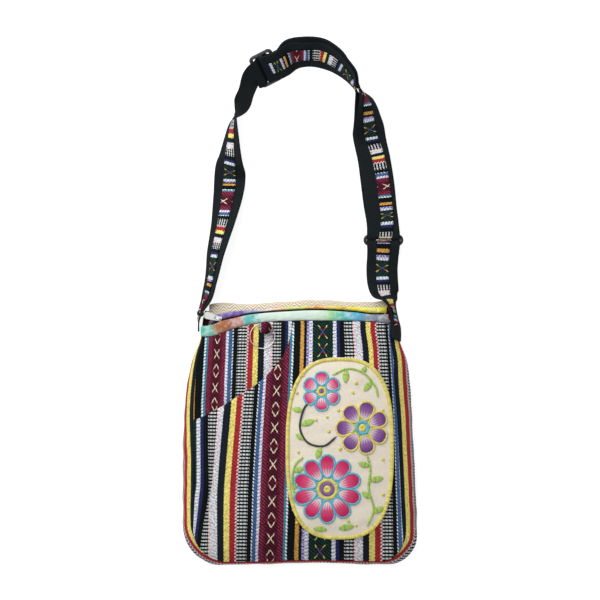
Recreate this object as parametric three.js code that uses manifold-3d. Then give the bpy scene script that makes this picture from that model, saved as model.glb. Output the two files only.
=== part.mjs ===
import * as THREE from "three";
import { mergeVertices } from "three/addons/utils/BufferGeometryUtils.js";
import Module from "manifold-3d";

// A striped cotton file bag lying on its back, with its shoulder strap laid out beyond the mouth.
// Millimetres, +Z up from the surface it lies on, +Y from the bag towards the strap.

// Cloth and sewing
const WALL = 2;
const GAP = 0.3;
const SEAM_INSET = 1.6;

// Body
const BODY_BOTTOM = -336.3;
const BOTTOM_RISE = 3;
const BOTTOM_RISE_X = 18;
const BOTTOM_RISE_WIDTH = 70;
const CORNER_LEFT = 48;
const CORNER_RIGHT = 36;
const FRONT_BOTTOM_INSET = 5;
const BACK_INSET = 8;
const BACK_SEAM_INSET = 1.75;
const SIDE_ROUNDING = 2.4;
const BULGE_HEIGHT = 0.42;

// Pocket
const POCKET_LIFT = 9.5;
const POCKET_GAP = 0.8;
const POCKET_EDGE = 70;

// Mouth
const BINDING = 4;
const BACK_BINDING = 3;
const ZIP_SLIT = 1.5;
const BACK_BINDING_HEIGHT = 15.2;
const BACK_BINDING_CROWN = 0.8;
const FRONT_BINDING_CURL = 3;
const FRONT_BINDING_TURN = 0.7;
const BACK_TOP_INSET = 5.2;
const TAPE = 1.2;
const TAPE_WIDTH = 10;
const TAPE_UNDER_BINDING = 0.1;
const FACING_ENDS = [-115.5, 111];
const BACK_BINDING_ENDS = [-114, 110];
const FRONT_BINDING_ENDS = [-125.5, 111.5];
const TAPE_ENDS = [-108, 104];

// Applique
const PATCH = 1;
const PATCH_GAP = 1.1;
const FLOWER_GAP = 0.95;
const GROUND_X = 50;
const GROUND_Y = -186;
const GROUND_HALF_WIDTH = 68;
const GROUND_HALF_HEIGHT = 114;
const GROUND_SQUARENESS = 2.8;

// Zip pull
const PULL_X = -103.5;
const PULL_Y = -23.5;
const PULL_HEADING = 163;
const PULL_RISE = 15;
const PULL_LENGTH = 19;
const PULL_WIDTH = 9.4;
const PULL_THICKNESS = 1.4;
const PULL_TAPER = 1.9;
const CROSSBAR_HALF = 1.15;
const EYE_END = 5;
const EYE_HALF = 1.9;
const BRIDGE_INNER = 1.65;
const BRIDGE_OUTER = 2.85;
const BRIDGE_WIDTH = 2.4;
const ZIP_BODY_LENGTH = 8;
const ZIP_BODY_WIDTH = 6;
const ZIP_BODY_HEIGHT = 4.8;
const BRIDGE_FOOT = 0.4;
const BEAD_RADIUS = 4.7;

// Button and key ring
const BUTTON_X = -43.5;
const BUTTON_Y = -35;
const BUTTON_RADIUS = 8;
const SHANK_RADIUS = 2;
const SHANK_LENGTH = 3;
const BALL_START = -70;
const BALL_SEAT = 0.95;
const KEY_RING_X = -47.5;
const KEY_RING_Y = -45.5;
const KEY_RING_RADIUS = 15.6;
const KEY_RING_WIRE = 0.7;
const KEY_RING_LIFT = 1;

// Strap and its fittings
const STRAP = 1.6;
const STRAP_WIDTH = 40;
const BAND = 0.8;
const BAND_SHARE = 0.4;
const RING_X = 106.5;
const RING_TOP_BAR = 81.5;
const RING_LOW_BAR = 71.5;
const RING_HALF_WIDTH = 23.5;
const RING_CORNER = 4.5;
const RING_ROD = 2;
const RING_HEIGHT = 5.7;
const SLIDER_X = -43;
const SLIDER_Y = 294;
const SLIDER_Z = 19.5;
const SLIDER_HEADING = 27;
const SLIDER_TILT = 40;
const SLIDER_LENGTH = 50;
const SLIDER_WIDTH = 32;
const SLIDER_SLOT_LENGTH = 41;
const SLIDER_SLOT = 8.5;
const SLIDER_BAR = 5;
const SLIDER_THICKNESS = 3;
const SLIDER_CORNER = 6;
const SLOT_CORNER = 1.2;

// Rows of values become objects with named columns.
function table(columns, rows) {
  return rows.map((row) => Object.fromEntries(columns.map((name, i) => [name, row[i]])));
}

// Outermost edge of the body on each side, and how far the front seam lies inside it.
const SIDES = table(
  ["y", "left", "right", "seamLeft", "seamRight"],
  [
    [8, -114, 113, 2, 2],
    [-22, -121.5, 118, 2, 3],
    [-50, -126, 125, 3, 10],
    [-75, -135, 134.5, 6, 16],
    [-105, -142, 138.5, 9, 19],
    [-140, -146, 140.8, 11, 18.5],
    [-205, -148, 144, 15, 18.5],
    [-270, -148, 147, 14, 18.5],
    [-340, -148, 147.8, 9, 14],
  ],
);

// Height of the front panel along its middle, and how much lower it lies at the side seams.
const FRONT = table(
  ["y", "height", "drop"],
  [
    [-345, 20, 5],
    [-331, 26, 6],
    [-318, 34, 8],
    [-295, 38.5, 9],
    [-250, 41, 9],
    [-180, 41, 9],
    [-120, 39.5, 9],
    [-80, 36.5, 8],
    [-50, 31.5, 5],
    [-26, 28, 3],
    [-8, 27, 3],
  ],
);

// Folds pressed into the front: centre, direction, half width, half length and depth.
const FOLDS = table(
  ["x", "y", "heading", "width", "length", "depth"],
  [
    [-107, -235, 93, 9, 70, 5],
    [-118, -120, 62, 10, 38, 3],
    [-70, -70, 20, 12, 45, 2.5],
    [70, -62, -12, 13, 42, 2],
    [-15, -318, 4, 9, 46, 3],
    [108, -300, 60, 9, 30, 2.5],
  ],
);

// Height that the rim of the gusset may reach near the mouth.
const RIM = table(
  ["y", "left", "right"],
  [
    [10, 11, 12],
    [-14, 13, 15],
    [-28, 17, 23],
    [-38, 20.5, 40],
    [-46, 22, 60],
    [-52, 25, 60],
    [-60, 42, 60],
    [-70, 60, 60],
  ],
);

// Lines of the mouth seen from above: rear fold, back binding edge, and both edges of the front binding.
const MOUTH = table(
  ["x", "fold", "back", "front", "low"],
  [
    [-126, -9, -23, -33, -46.3],
    [-112, -5, -20, -31.5, -45.5],
    [-99, -3.6, -17.2, -26.5, -42],
    [-82, -4.5, -14.6, -22.5, -35.5],
    [-64, -5.5, -12.6, -18.5, -31],
    [-45, -4, -12, -16.5, -28],
    [-26, -2.6, -9.8, -15, -26.5],
    [21, 0, -7.5, -13, -26],
    [68, -2.8, -8.7, -15.5, -26.5],
    [92, -2.2, -9.6, -18.3, -27.5],
    [113, -1.5, -7.6, -17.8, -29.5],
  ],
);

// Section of the rear facing: the mouth line it follows, distance in from that line, and height.
const FACING = table(
  ["line", "inset", "height"],
  [
    ["fold", 3.6, 1.6],
    ["fold", 1.3, 3.2],
    ["fold", 0.9, 6.6],
    ["fold", 3.2, 10],
    ["back", 0.9, 12.1],
  ],
);

// Curved pocket mouth across the front: share of the width, and share of the height that the pocket fills.
const POCKET_MOUTH = table(
  ["across", "filled"],
  [
    [0, 0.612],
    [0.1, 0.649],
    [0.19, 0.676],
    [0.27, 0.712],
    [0.34, 0.754],
    [0.395, 0.803],
    [0.435, 0.848],
    [0.462, 0.892],
    [0.476, 0.94],
    [0.484, 1],
  ],
);

// Applique flowers: middle, radius, petals and how deeply the petals are cut.
const FLOWERS = table(
  ["name", "x", "y", "radius", "petals", "cut"],
  [
    ["applique_flower_large", 34, -236, 44, 10, 0.26],
    ["applique_flower_middle", 78, -160, 34, 7, 0.3],
    ["applique_flower_small", 27, -114, 25, 6, 0.34],
  ],
);

// Strap sections: middle, width, and the heading and rise of the edge that is on the right with the band on top.
const STRAP_COLUMNS = ["x", "y", "z", "width", "heading", "rise"];
const LEFT_RUN = table(STRAP_COLUMNS, [
  [-129.2, -40, 13, 24, 0, 88],
  [-128.8, -27, 13, 24, 0, 85],
  [-126.2, -14, 13, 25, -6, 74],
  [-118.6, 3, 14, 29, -12, 61],
  [-113, 26, 16, 34, -12, 61],
  [-106.5, 63, 16.2, 38, -13, 52],
  [-97.5, 100, 14.4, 40, -12, 41],
  [-91, 138, 7, 40, -6, 17],
  [-89.6, 156, 3.5, 40, -3, 3],
  [-88.5, 178, 13.5, 40, -3, 40],
  [-86.8, 203, 18, 40, -5, 60],
  [-83.4, 229, 20.2, 40, 10, 79],
  [-74, 248.5, 19.2, 40, 142, 62],
  [-67.5, 265.5, 19.6, 40, 140, 64],
  [-60.2, 281.2, 23.2, 40, 118, 54],
]);
const OUTER_TOP = table(STRAP_COLUMNS, [
  [-12, 313.4, 20.6, 40, 112, 40],
  [4.5, 318.5, 21, 40, 98, 50],
  [26.9, 316.3, 18.4, 40, 76, 47],
  [44.1, 307.4, 19.8, 40, 55, 57],
  [54.6, 297.6, 20, 40, 42, 66],
  [67.2, 284.5, 20.8, 40, 35, 76],
  [74.6, 269, 20.8, 40, 150, 84],
]);
const OUTER_SIDE = table(STRAP_COLUMNS, [
  [83.5, 252, 19.6, 40, 180, 58],
  [87.3, 226, 15.6, 40, 180, 31],
  [90, 204, 7.4, 40, 180, 6],
  [95.4, 179, 6.8, 40, 176, 0],
  [100.5, 147, 6.8, 40, 175, 0],
  [103.7, 115, 7.2, 40, 177, 0],
  [105.8, 98, 8.1, 40, 180, 0],
]);
const INNER_SIDE = table(STRAP_COLUMNS, [
  [105, 100, 2.2, 40, 180, 0],
  [101, 124, 2.2, 40, 178, 0],
  [97.3, 153, 2.2, 40, 176, 0],
  [93.6, 181, 2.3, 40, 176, 0],
  [88.3, 205, 2.9, 40, 176, 2],
  [84.3, 225, 12.3, 40, 178, 32],
  [77.8, 246, 18.6, 40, 178, 60],
  [71.6, 266, 20.4, 40, 150, 84],
]);
const INNER_TOP = table(STRAP_COLUMNS, [
  [64.4, 282.5, 20, 40, 35, 76],
  [52.2, 295.5, 19.2, 40, 42, 66],
  [41.6, 303.8, 17.8, 40, 55, 57],
  [25.6, 311.1, 16, 40, 76, 47],
  [5.5, 311.4, 16.5, 40, 98, 50],
  [-10, 308.4, 19.4, 40, 112, 40],
]);
const SHORT_RUN = table(STRAP_COLUMNS, [
  [120.6, -50, 26.8, 26, 0, -57],
  [121, -33, 22.6, 26, 0, -60],
  [119.8, -22, 19.8, 28, 4, -70],
  [117.5, -10, 17.5, 31, 8, -72],
  [114.2, 0, 16.4, 36, 10, -60],
  [108.2, 8.5, 11.8, 40, 7, -30],
  [105.8, 21, 6.6, 40, 3, -10],
  [104.8, 39, 3.8, 40, 0, 0],
  [105.6, 54, 5.6, 40, 0, 0],
]);
const SHORT_TAIL = table(STRAP_COLUMNS, [[RING_X, 58, 1.9, 40, 0, 0]]);

// Band of the long strap off the strap's middle, by the number of the section.
const BAND_ASIDE = table(
  ["section", "aside"],
  [
    [0, 0],
    [33, 0],
    [34, -3],
    [35, -5],
    [36, -6],
    [37, -7],
    [38, -5],
    [39.5, -2],
    [43, 0],
    [62, 0],
  ],
);
const bandAside = (t) => lookUp(BAND_ASIDE, "section", t, "aside");

// Weave of the strap through the slider: along the strap from the middle bar, and off the slider's plane.
const WEAVE_COLUMNS = ["along", "off"];
const OUTER_WEAVE = table(WEAVE_COLUMNS, [
  [-14, 4.6],
  [-10, 4.2],
  [-7, 0.4],
  [-4.6, -4.6],
  [-1.5, -5.7],
  [2.5, -5.3],
  [7.2, 1.2],
  [10, 4.3],
  [14, 4.7],
  [23, 3.8],
]);
const INNER_WEAVE = table(WEAVE_COLUMNS, [
  [22, 6.8],
  [13.5, 7.1],
  [9, 6.3],
  [4, 4],
  [0, 3.1],
  [-3.2, 2.4],
  [-4, 0],
  [-3.2, -2.4],
  [-0.5, -3.1],
  [1.8, -3.1],
]);

const STRAP_STEPS = 2;
const DEGREE = Math.PI / 180;

// Smooth value of a column where another column has a given value, by cubic pieces through the rows.
function lookUp(rows, by, at, column) {
  const rising = rows[0][by] < rows[rows.length - 1][by];
  const past = (row) => (rising ? row[by] > at : row[by] < at);
  const found = rows.findIndex(past);
  const last = rows.length - 2;
  const i = found < 0 ? last : THREE.MathUtils.clamp(found - 1, 0, last);
  const slope = (a, b) => (rows[b][column] - rows[a][column]) / (rows[b][by] - rows[a][by]);
  const slopeAt = (k) => slope(Math.max(k - 1, 0), Math.min(k + 1, rows.length - 1));
  const span = rows[i + 1][by] - rows[i][by];
  const t = THREE.MathUtils.clamp((at - rows[i][by]) / span, 0, 1);
  const ease = t * t * (3 - 2 * t);
  const start = slopeAt(i) * span * t * (1 - t) * (1 - t);
  const end = slopeAt(i + 1) * span * t * t * (1 - t);
  return rows[i][column] * (1 - ease) + rows[i + 1][column] * ease + start - end;
}

// Blend of a list of vectors, t counting the vectors from 0.
function blend(points, t) {
  const i = Math.min(Math.floor(t), points.length - 2);
  const k = t - i;
  const before = points[Math.max(i - 1, 0)];
  const after = points[Math.min(i + 2, points.length - 1)];
  const out = points[i].clone().multiplyScalar(1 + k * k * (1.5 * k - 2.5));
  out.addScaledVector(points[i + 1], k * (0.5 + k * (2 - 1.5 * k)));
  out.addScaledVector(before, k * (-0.5 + k * (1 - 0.5 * k)));
  return out.addScaledVector(after, k * k * (0.5 * k - 0.5));
}

function steps(count) {
  return Array.from({ length: count + 1 }, (_, i) => i / count);
}

// Closed solid from points and triangles, turned so that its faces point outwards.
function solid(points, faces) {
  const volume = faces.reduce((sum, [a, b, c]) => {
    const normal = new THREE.Vector3().crossVectors(points[b], points[c]);
    return sum + points[a].dot(normal);
  }, 0);
  const outward = volume < 0 ? faces.map(([a, b, c]) => [a, c, b]) : faces;
  const geometry = new THREE.BufferGeometry().setFromPoints(points);
  geometry.setIndex(outward.flat());
  geometry.computeVertexNormals();
  return geometry;
}

function quad(a, b, c, d) {
  return [
    [a, b, c],
    [a, c, d],
  ];
}

// Cloth sheet of even thickness over a grid of points on its middle surface.
function sheet(grid, thickness) {
  const rows = grid.length;
  const columns = grid[0].length;
  const at = (i, j) => grid[Math.min(Math.max(i, 0), rows - 1)][Math.min(Math.max(j, 0), columns - 1)];
  const top = [];
  const under = [];
  for (let i = 0; i < rows; i++) {
    for (let j = 0; j < columns; j++) {
      const down = at(i + 1, j).clone().sub(at(i - 1, j));
      const across = at(i, j + 1).clone().sub(at(i, j - 1));
      const offset = down.cross(across).setLength(thickness / 2);
      top.push(at(i, j).clone().add(offset));
      under.push(at(i, j).clone().sub(offset));
    }
  }
  const upper = (i, j) => i * columns + j;
  const lower = (i, j) => rows * columns + i * columns + j;
  const faces = [];
  for (let i = 0; i + 1 < rows; i++) {
    for (let j = 0; j + 1 < columns; j++) {
      faces.push(...quad(upper(i, j), upper(i + 1, j), upper(i + 1, j + 1), upper(i, j + 1)));
      faces.push(...quad(lower(i, j), lower(i, j + 1), lower(i + 1, j + 1), lower(i + 1, j)));
    }
    const far = columns - 1;
    faces.push(...quad(upper(i, 0), lower(i, 0), lower(i + 1, 0), upper(i + 1, 0)));
    faces.push(...quad(upper(i + 1, far), lower(i + 1, far), lower(i, far), upper(i, far)));
  }
  for (let j = 0; j + 1 < columns; j++) {
    const far = rows - 1;
    faces.push(...quad(upper(0, j + 1), lower(0, j + 1), lower(0, j), upper(0, j)));
    faces.push(...quad(upper(far, j), lower(far, j), lower(far, j + 1), upper(far, j + 1)));
  }
  return solid([...top, ...under], faces);
}

// Solid swept through a list of closed sections that have the same number of corners.
function sweep(sections, closed = false) {
  const corners = sections[0].length;
  const count = sections.length;
  const at = (i, k) => (i % count) * corners + (k % corners);
  const faces = [];
  for (let i = 0; i < (closed ? count : count - 1); i++) {
    for (let k = 0; k < corners; k++) {
      const corner = [at(i, k), at(i, k + 1), at(i + 1, k + 1), at(i + 1, k)];
      if (k >= corners / 2) corner.push(corner.shift());
      faces.push(...quad(...corner));
    }
  }
  for (let k = 1; k + 1 < corners && !closed; k++) {
    faces.push([at(0, 0), at(0, k + 1), at(0, k)]);
    faces.push([at(count - 1, 0), at(count - 1, k), at(count - 1, k + 1)]);
  }
  return solid(sections.flat(), faces);
}

// Round cloth patch: rings from its middle to an outline, laid on a height.
function patch(middleX, middleY, radiusAt, spokes, rings, height, thickness) {
  const pointAt = (spoke, ring, lift) => {
    const angle = (spoke / spokes) * 2 * Math.PI;
    const radius = (radiusAt(angle) * ring) / rings;
    const x = middleX + radius * Math.cos(angle);
    const y = middleY + radius * Math.sin(angle);
    return new THREE.Vector3(x, y, height(x, y) + lift);
  };
  const points = [];
  for (const lift of [thickness / 2, -thickness / 2]) {
    points.push(pointAt(0, 0, lift));
    for (let ring = 1; ring <= rings; ring++) {
      for (let spoke = 0; spoke < spokes; spoke++) points.push(pointAt(spoke, ring, lift));
    }
  }
  const layer = 1 + rings * spokes;
  const at = (side, ring, spoke) => side * layer + 1 + (ring - 1) * spokes + (spoke % spokes);
  const faces = [];
  for (let spoke = 0; spoke < spokes; spoke++) {
    faces.push([0, at(0, 1, spoke), at(0, 1, spoke + 1)]);
    faces.push([layer, at(1, 1, spoke + 1), at(1, 1, spoke)]);
    for (let ring = 1; ring < rings; ring++) {
      const near = [at(0, ring, spoke), at(0, ring + 1, spoke)];
      const next = [at(0, ring + 1, spoke + 1), at(0, ring, spoke + 1)];
      faces.push(...quad(...near, ...next));
      faces.push(...quad(...[...near, ...next].map((index) => index + layer).reverse()));
    }
    const rim = [at(0, rings, spoke), at(1, rings, spoke)];
    faces.push(...quad(...rim, at(1, rings, spoke + 1), at(0, rings, spoke + 1)));
  }
  return solid(points, faces);
}

// U-shaped outline down the left side, round the bottom and up the right side, t from 0 to 1.
const LEFT_END = 0.36;
const BOTTOM_START = 0.45;
const BOTTOM_END = 0.55;
const RIGHT_START = 0.64;
function outline({ left, right, bottom, radiusLeft, radiusRight, topLeft, topRight }) {
  const share = THREE.MathUtils.inverseLerp;
  const middleLeft = left(bottom + radiusLeft) + radiusLeft;
  const middleRight = right(bottom + radiusRight) - radiusRight;
  const rise = (x) => BOTTOM_RISE * Math.exp(-(((x - BOTTOM_RISE_X) / BOTTOM_RISE_WIDTH) ** 2));
  const corner = (x, radius, angle) => {
    const px = x + radius * Math.cos(angle);
    const py = bottom + radius + radius * Math.sin(angle);
    return new THREE.Vector2(px, py + rise(px) * (1 - (py - bottom) / radius));
  };
  return (t) => {
    if (t < LEFT_END) {
      const y = THREE.MathUtils.lerp(topLeft, bottom + radiusLeft, share(0, LEFT_END, t));
      return new THREE.Vector2(left(y), y);
    }
    if (t < BOTTOM_START) {
      return corner(middleLeft, radiusLeft, Math.PI * (1 + 0.5 * share(LEFT_END, BOTTOM_START, t)));
    }
    if (t < BOTTOM_END) {
      const x = THREE.MathUtils.lerp(middleLeft, middleRight, share(BOTTOM_START, BOTTOM_END, t));
      return new THREE.Vector2(x, bottom + rise(x));
    }
    if (t < RIGHT_START) {
      return corner(middleRight, radiusRight, Math.PI * (1.5 + 0.5 * share(BOTTOM_END, RIGHT_START, t)));
    }
    const y = THREE.MathUtils.lerp(bottom + radiusRight, topRight, share(RIGHT_START, 1, t));
    return new THREE.Vector2(right(y), y);
  };
}

const sideAt = (y, column) => lookUp(SIDES, "y", y, column);
const seamLeft = (y) => sideAt(y, "left") + sideAt(y, "seamLeft");
const seamRight = (y) => sideAt(y, "right") - sideAt(y, "seamRight");
const mouthAt = (x, line) => lookUp(MOUTH, "x", x, line);
const GUSSET_TOP_LEFT = -14;
const GUSSET_TOP_RIGHT = -8;

const edge = outline({
  left: (y) => sideAt(y, "left"),
  right: (y) => sideAt(y, "right"),
  bottom: BODY_BOTTOM,
  radiusLeft: CORNER_LEFT,
  radiusRight: CORNER_RIGHT,
  topLeft: GUSSET_TOP_LEFT,
  topRight: GUSSET_TOP_RIGHT,
});
const frontSeam = outline({
  left: seamLeft,
  right: seamRight,
  bottom: BODY_BOTTOM + FRONT_BOTTOM_INSET,
  radiusLeft: CORNER_LEFT - FRONT_BOTTOM_INSET,
  radiusRight: CORNER_RIGHT - FRONT_BOTTOM_INSET,
  topLeft: GUSSET_TOP_LEFT,
  topRight: GUSSET_TOP_RIGHT,
});
const backSeam = outline({
  left: (y) => sideAt(y, "left") + BACK_INSET,
  right: (y) => sideAt(y, "right") - BACK_INSET,
  bottom: BODY_BOTTOM + BACK_INSET,
  radiusLeft: CORNER_LEFT - BACK_INSET,
  radiusRight: CORNER_RIGHT - BACK_INSET,
  topLeft: GUSSET_TOP_LEFT,
  topRight: GUSSET_TOP_RIGHT,
});

// Four-sided plan of a panel between its outline and its top line.
function panelPlan(side, topLine) {
  const corner = (LEFT_END + BOTTOM_START) / 2;
  const farCorner = (BOTTOM_END + RIGHT_START) / 2;
  const topLeft = side(0);
  const topRight = side(1);
  const top = (u) => {
    const x = THREE.MathUtils.lerp(topLeft.x, topRight.x, u);
    return new THREE.Vector2(x, topLine(x));
  };
  return (u, v) => {
    const bottom = side(THREE.MathUtils.lerp(corner, farCorner, u));
    const left = side(corner * (1 - v));
    const right = side(THREE.MathUtils.lerp(farCorner, 1, v));
    const sides = left.lerp(right, u);
    const ends = bottom.lerp(top(u), v);
    const low = side(corner).lerp(side(farCorner), u);
    const corners = low.lerp(topLeft.clone().lerp(topRight, u), v);
    return sides.add(ends).sub(corners);
  };
}

// Height of the front panel's middle surface, with its folds.
function foldDepth(x, y) {
  return FOLDS.reduce((sum, fold) => {
    const cos = Math.cos(fold.heading * DEGREE);
    const sin = Math.sin(fold.heading * DEGREE);
    const along = ((x - fold.x) * cos + (y - fold.y) * sin) / fold.length;
    const across = ((y - fold.y) * cos - (x - fold.x) * sin) / fold.width;
    return sum + fold.depth * Math.exp(-along * along - across * across);
  }, 0);
}
function sideShare(x, y) {
  const left = seamLeft(y);
  const right = seamRight(y);
  return (2 * x - left - right) / (right - left);
}
function frontHeight(x, y) {
  const side = Math.abs(sideShare(x, y)) ** SIDE_ROUNDING;
  const crown = lookUp(FRONT, "y", y, "height") - lookUp(FRONT, "y", y, "drop") * side;
  return crown - foldDepth(x, y);
}
function pocketHeight(x, y) {
  const side = Math.max(1 - sideShare(x, y) ** 2, 0);
  const fromBottom = THREE.MathUtils.smoothstep(y, BODY_BOTTOM, BODY_BOTTOM + POCKET_EDGE);
  const fromTop = THREE.MathUtils.smoothstep(-y, -mouthAt(x, "low"), POCKET_EDGE - mouthAt(x, "low"));
  return frontHeight(x, y) + WALL + POCKET_GAP + POCKET_LIFT * side * fromBottom * fromTop;
}

// Front panels stop short of the seam and of the front binding.
const frontTop = (x) => mouthAt(x, "low") - SEAM_INSET;
const panelEdge = outline({
  left: (y) => seamLeft(y) + SEAM_INSET,
  right: (y) => seamRight(y) - SEAM_INSET,
  bottom: BODY_BOTTOM + FRONT_BOTTOM_INSET + SEAM_INSET,
  radiusLeft: CORNER_LEFT - FRONT_BOTTOM_INSET - SEAM_INSET,
  radiusRight: CORNER_RIGHT - FRONT_BOTTOM_INSET - SEAM_INSET,
  topLeft: frontTop(seamLeft(frontTop(SIDES[2].left)) + SEAM_INSET),
  topRight: frontTop(seamRight(frontTop(SIDES[1].right)) - SEAM_INSET),
});
const frontPlan = panelPlan(panelEdge, frontTop);
const raise = (point, z) => new THREE.Vector3(point.x, point.y, z);

const frontGrid = steps(13).map((v) =>
  steps(13).map((u) => {
    const point = frontPlan(u, v);
    return raise(point, frontHeight(point.x, point.y));
  }),
);

// Columns of the pocket crowd together where its mouth turns up to the binding.
const FULL_COLUMNS = [0.52, 0.59, 0.67, 0.75, 0.83, 0.92, 1];
const pocketColumns = [...POCKET_MOUTH.map((row) => row.across), ...FULL_COLUMNS];
const pocketFilled = (u) => lookUp(POCKET_MOUTH, "across", u, "filled");
const pocketGrid = steps(14).map((v) =>
  pocketColumns.map((u) => {
    const point = frontPlan(u, v * pocketFilled(u));
    return raise(point, pocketHeight(point.x, point.y));
  }),
);

// The back panel lies flat inside the back seam.
const backTop = (x) => mouthAt(x, "fold") - BACK_TOP_INSET;
const backEdge = outline({
  left: (y) => sideAt(y, "left") + BACK_INSET + BACK_SEAM_INSET,
  right: (y) => sideAt(y, "right") - BACK_INSET - BACK_SEAM_INSET,
  bottom: BODY_BOTTOM + BACK_INSET + BACK_SEAM_INSET,
  radiusLeft: CORNER_LEFT - BACK_INSET - BACK_SEAM_INSET,
  radiusRight: CORNER_RIGHT - BACK_INSET - BACK_SEAM_INSET,
  topLeft: backTop(SIDES[0].left),
  topRight: backTop(SIDES[0].right),
});
const backPlan = panelPlan(backEdge, backTop);
const backGrid = steps(8).map((v) => steps(10).map((u) => raise(backPlan(u, v), WALL / 2)));

// The gusset bulges from the front seam out to the edge and back in to the back seam.
function gussetPoint(t, s) {
  const front = frontSeam(t);
  const rim = lookUp(RIM, "y", front.y, t < 0.5 ? "left" : "right");
  const height = Math.min(frontHeight(front.x, front.y) + WALL / 2, rim);
  const sections = [
    raise(front, height),
    raise(edge(t), height * BULGE_HEIGHT),
    raise(backSeam(t), WALL / 2 + 2 * GAP),
  ];
  const weights = [(2 * s - 1) * (s - 1), 4 * s * (1 - s), s * (2 * s - 1)];
  const out = new THREE.Vector3();
  sections.forEach((section, i) => out.addScaledVector(section, weights[i]));
  return out;
}
const gussetGrid = steps(46).map((t) => steps(5).map((s) => gussetPoint(t, s)));

// Rows of points across the mouth, left to right.
function mouthGrid([from, to], count, across, point) {
  return steps(count).map((share) => {
    const x = THREE.MathUtils.lerp(from, to, share);
    return across.map((s) => point(x, s));
  });
}
const facingRows = FACING.map((_, i) => i);
const facingGrid = mouthGrid(FACING_ENDS, 22, facingRows, (x, i) => {
  const y = mouthAt(x, FACING[i].line) - FACING[i].inset;
  return new THREE.Vector3(x, y, FACING[i].height);
});
const slitEdge = (x) => mouthAt(x, "front") + ZIP_SLIT;
const backBindingPoint = (x, s) => {
  const y = THREE.MathUtils.lerp(mouthAt(x, "back"), slitEdge(x), s);
  return new THREE.Vector3(x, y, BACK_BINDING_HEIGHT + 4 * BACK_BINDING_CROWN * s * (1 - s));
};
const backBindingGrid = mouthGrid(BACK_BINDING_ENDS, 22, steps(3), backBindingPoint);
const backTapeGrid = mouthGrid(TAPE_ENDS, 14, steps(2), (x, s) => {
  const y = slitEdge(x) + TAPE_WIDTH * (TAPE_UNDER_BINDING - s);
  return new THREE.Vector3(x, y, BACK_BINDING_HEIGHT - BACK_BINDING / 2 - GAP - TAPE / 2);
});
const frontBindingPoint = (x, s) => {
  const low = mouthAt(x, "low");
  const y = THREE.MathUtils.lerp(low, mouthAt(x, "front"), s);
  const curl = FRONT_BINDING_CURL * s * (FRONT_BINDING_TURN - s);
  return new THREE.Vector3(x, y, frontHeight(x, low) + WALL / 2 + curl);
};
const frontBindingGrid = mouthGrid(FRONT_BINDING_ENDS, 24, steps(4), frontBindingPoint);
const frontTapeGrid = mouthGrid(TAPE_ENDS, 14, steps(2), (x, s) => {
  const point = frontBindingPoint(x, 0.25 + 0.65 * s);
  point.z -= BINDING / 2 + 2 * GAP + TAPE / 2;
  return point;
});

// Applique pieces follow the pocket, one layer above the other.
const groundRadius = (angle) => {
  const across = Math.abs(Math.cos(angle) / GROUND_HALF_WIDTH) ** GROUND_SQUARENESS;
  const up = Math.abs(Math.sin(angle) / GROUND_HALF_HEIGHT) ** GROUND_SQUARENESS;
  return (across + up) ** (-1 / GROUND_SQUARENESS);
};
const groundHeight = (x, y) => pocketHeight(x, y) + WALL / 2 + PATCH_GAP + PATCH / 2;
const flowerHeight = (x, y) => groundHeight(x, y) + PATCH + FLOWER_GAP;
function flower({ x, y, radius, petals, cut }) {
  const radiusAt = (angle) => radius * (1 - cut * (1 - Math.abs(Math.sin((petals * angle) / 2))));
  return patch(x, y, radiusAt, petals * 5, 2, flowerHeight, PATCH);
}

// Strap paths are lists of sections, each a middle, a width and a sideways direction.
function direction(heading, rise) {
  const level = Math.cos(rise * DEGREE);
  const x = level * Math.cos(heading * DEGREE);
  const y = level * Math.sin(heading * DEGREE);
  return new THREE.Vector3(x, y, Math.sin(rise * DEGREE));
}
function strapSection({ x, y, z, width, heading, rise }) {
  return { middle: new THREE.Vector3(x, y, z), width, side: direction(heading, rise) };
}
const sliderAlong = direction(SLIDER_HEADING, 0);
const sliderSide = direction(SLIDER_HEADING + 90, SLIDER_TILT);
const sliderUp = new THREE.Vector3().crossVectors(sliderAlong, sliderSide);
const sliderMiddle = new THREE.Vector3(SLIDER_X, SLIDER_Y, SLIDER_Z);
function weaveSection({ along, off }) {
  const middle = sliderMiddle.clone().addScaledVector(sliderAlong, along).addScaledVector(sliderUp, off);
  return { middle, width: STRAP_WIDTH, side: sliderSide };
}

// Turn of a strap round a bar of the ring, from above it to below it.
function ringTurn(bar, towards, heading) {
  const reach = RING_ROD + 2 * GAP + STRAP / 2;
  return [90, 45, 0, -45, -90].map((angle) => {
    const y = bar + towards * reach * Math.cos(angle * DEGREE);
    const z = RING_HEIGHT + reach * Math.sin(angle * DEGREE);
    const middle = new THREE.Vector3(RING_X, y, z);
    return { middle, width: STRAP_WIDTH, side: direction(heading, 0) };
  });
}
const longPath = [
  ...LEFT_RUN.map(strapSection),
  ...OUTER_WEAVE.map(weaveSection),
  ...OUTER_TOP.map(strapSection),
  ...OUTER_SIDE.map(strapSection),
  ...ringTurn(RING_TOP_BAR, -1, 180),
  ...INNER_SIDE.map(strapSection),
  ...INNER_TOP.map(strapSection),
  ...INNER_WEAVE.map(weaveSection),
];
const shortPath = [
  ...SHORT_RUN.map(strapSection),
  ...ringTurn(RING_LOW_BAR, 1, 0),
  ...SHORT_TAIL.map(strapSection),
];

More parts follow.
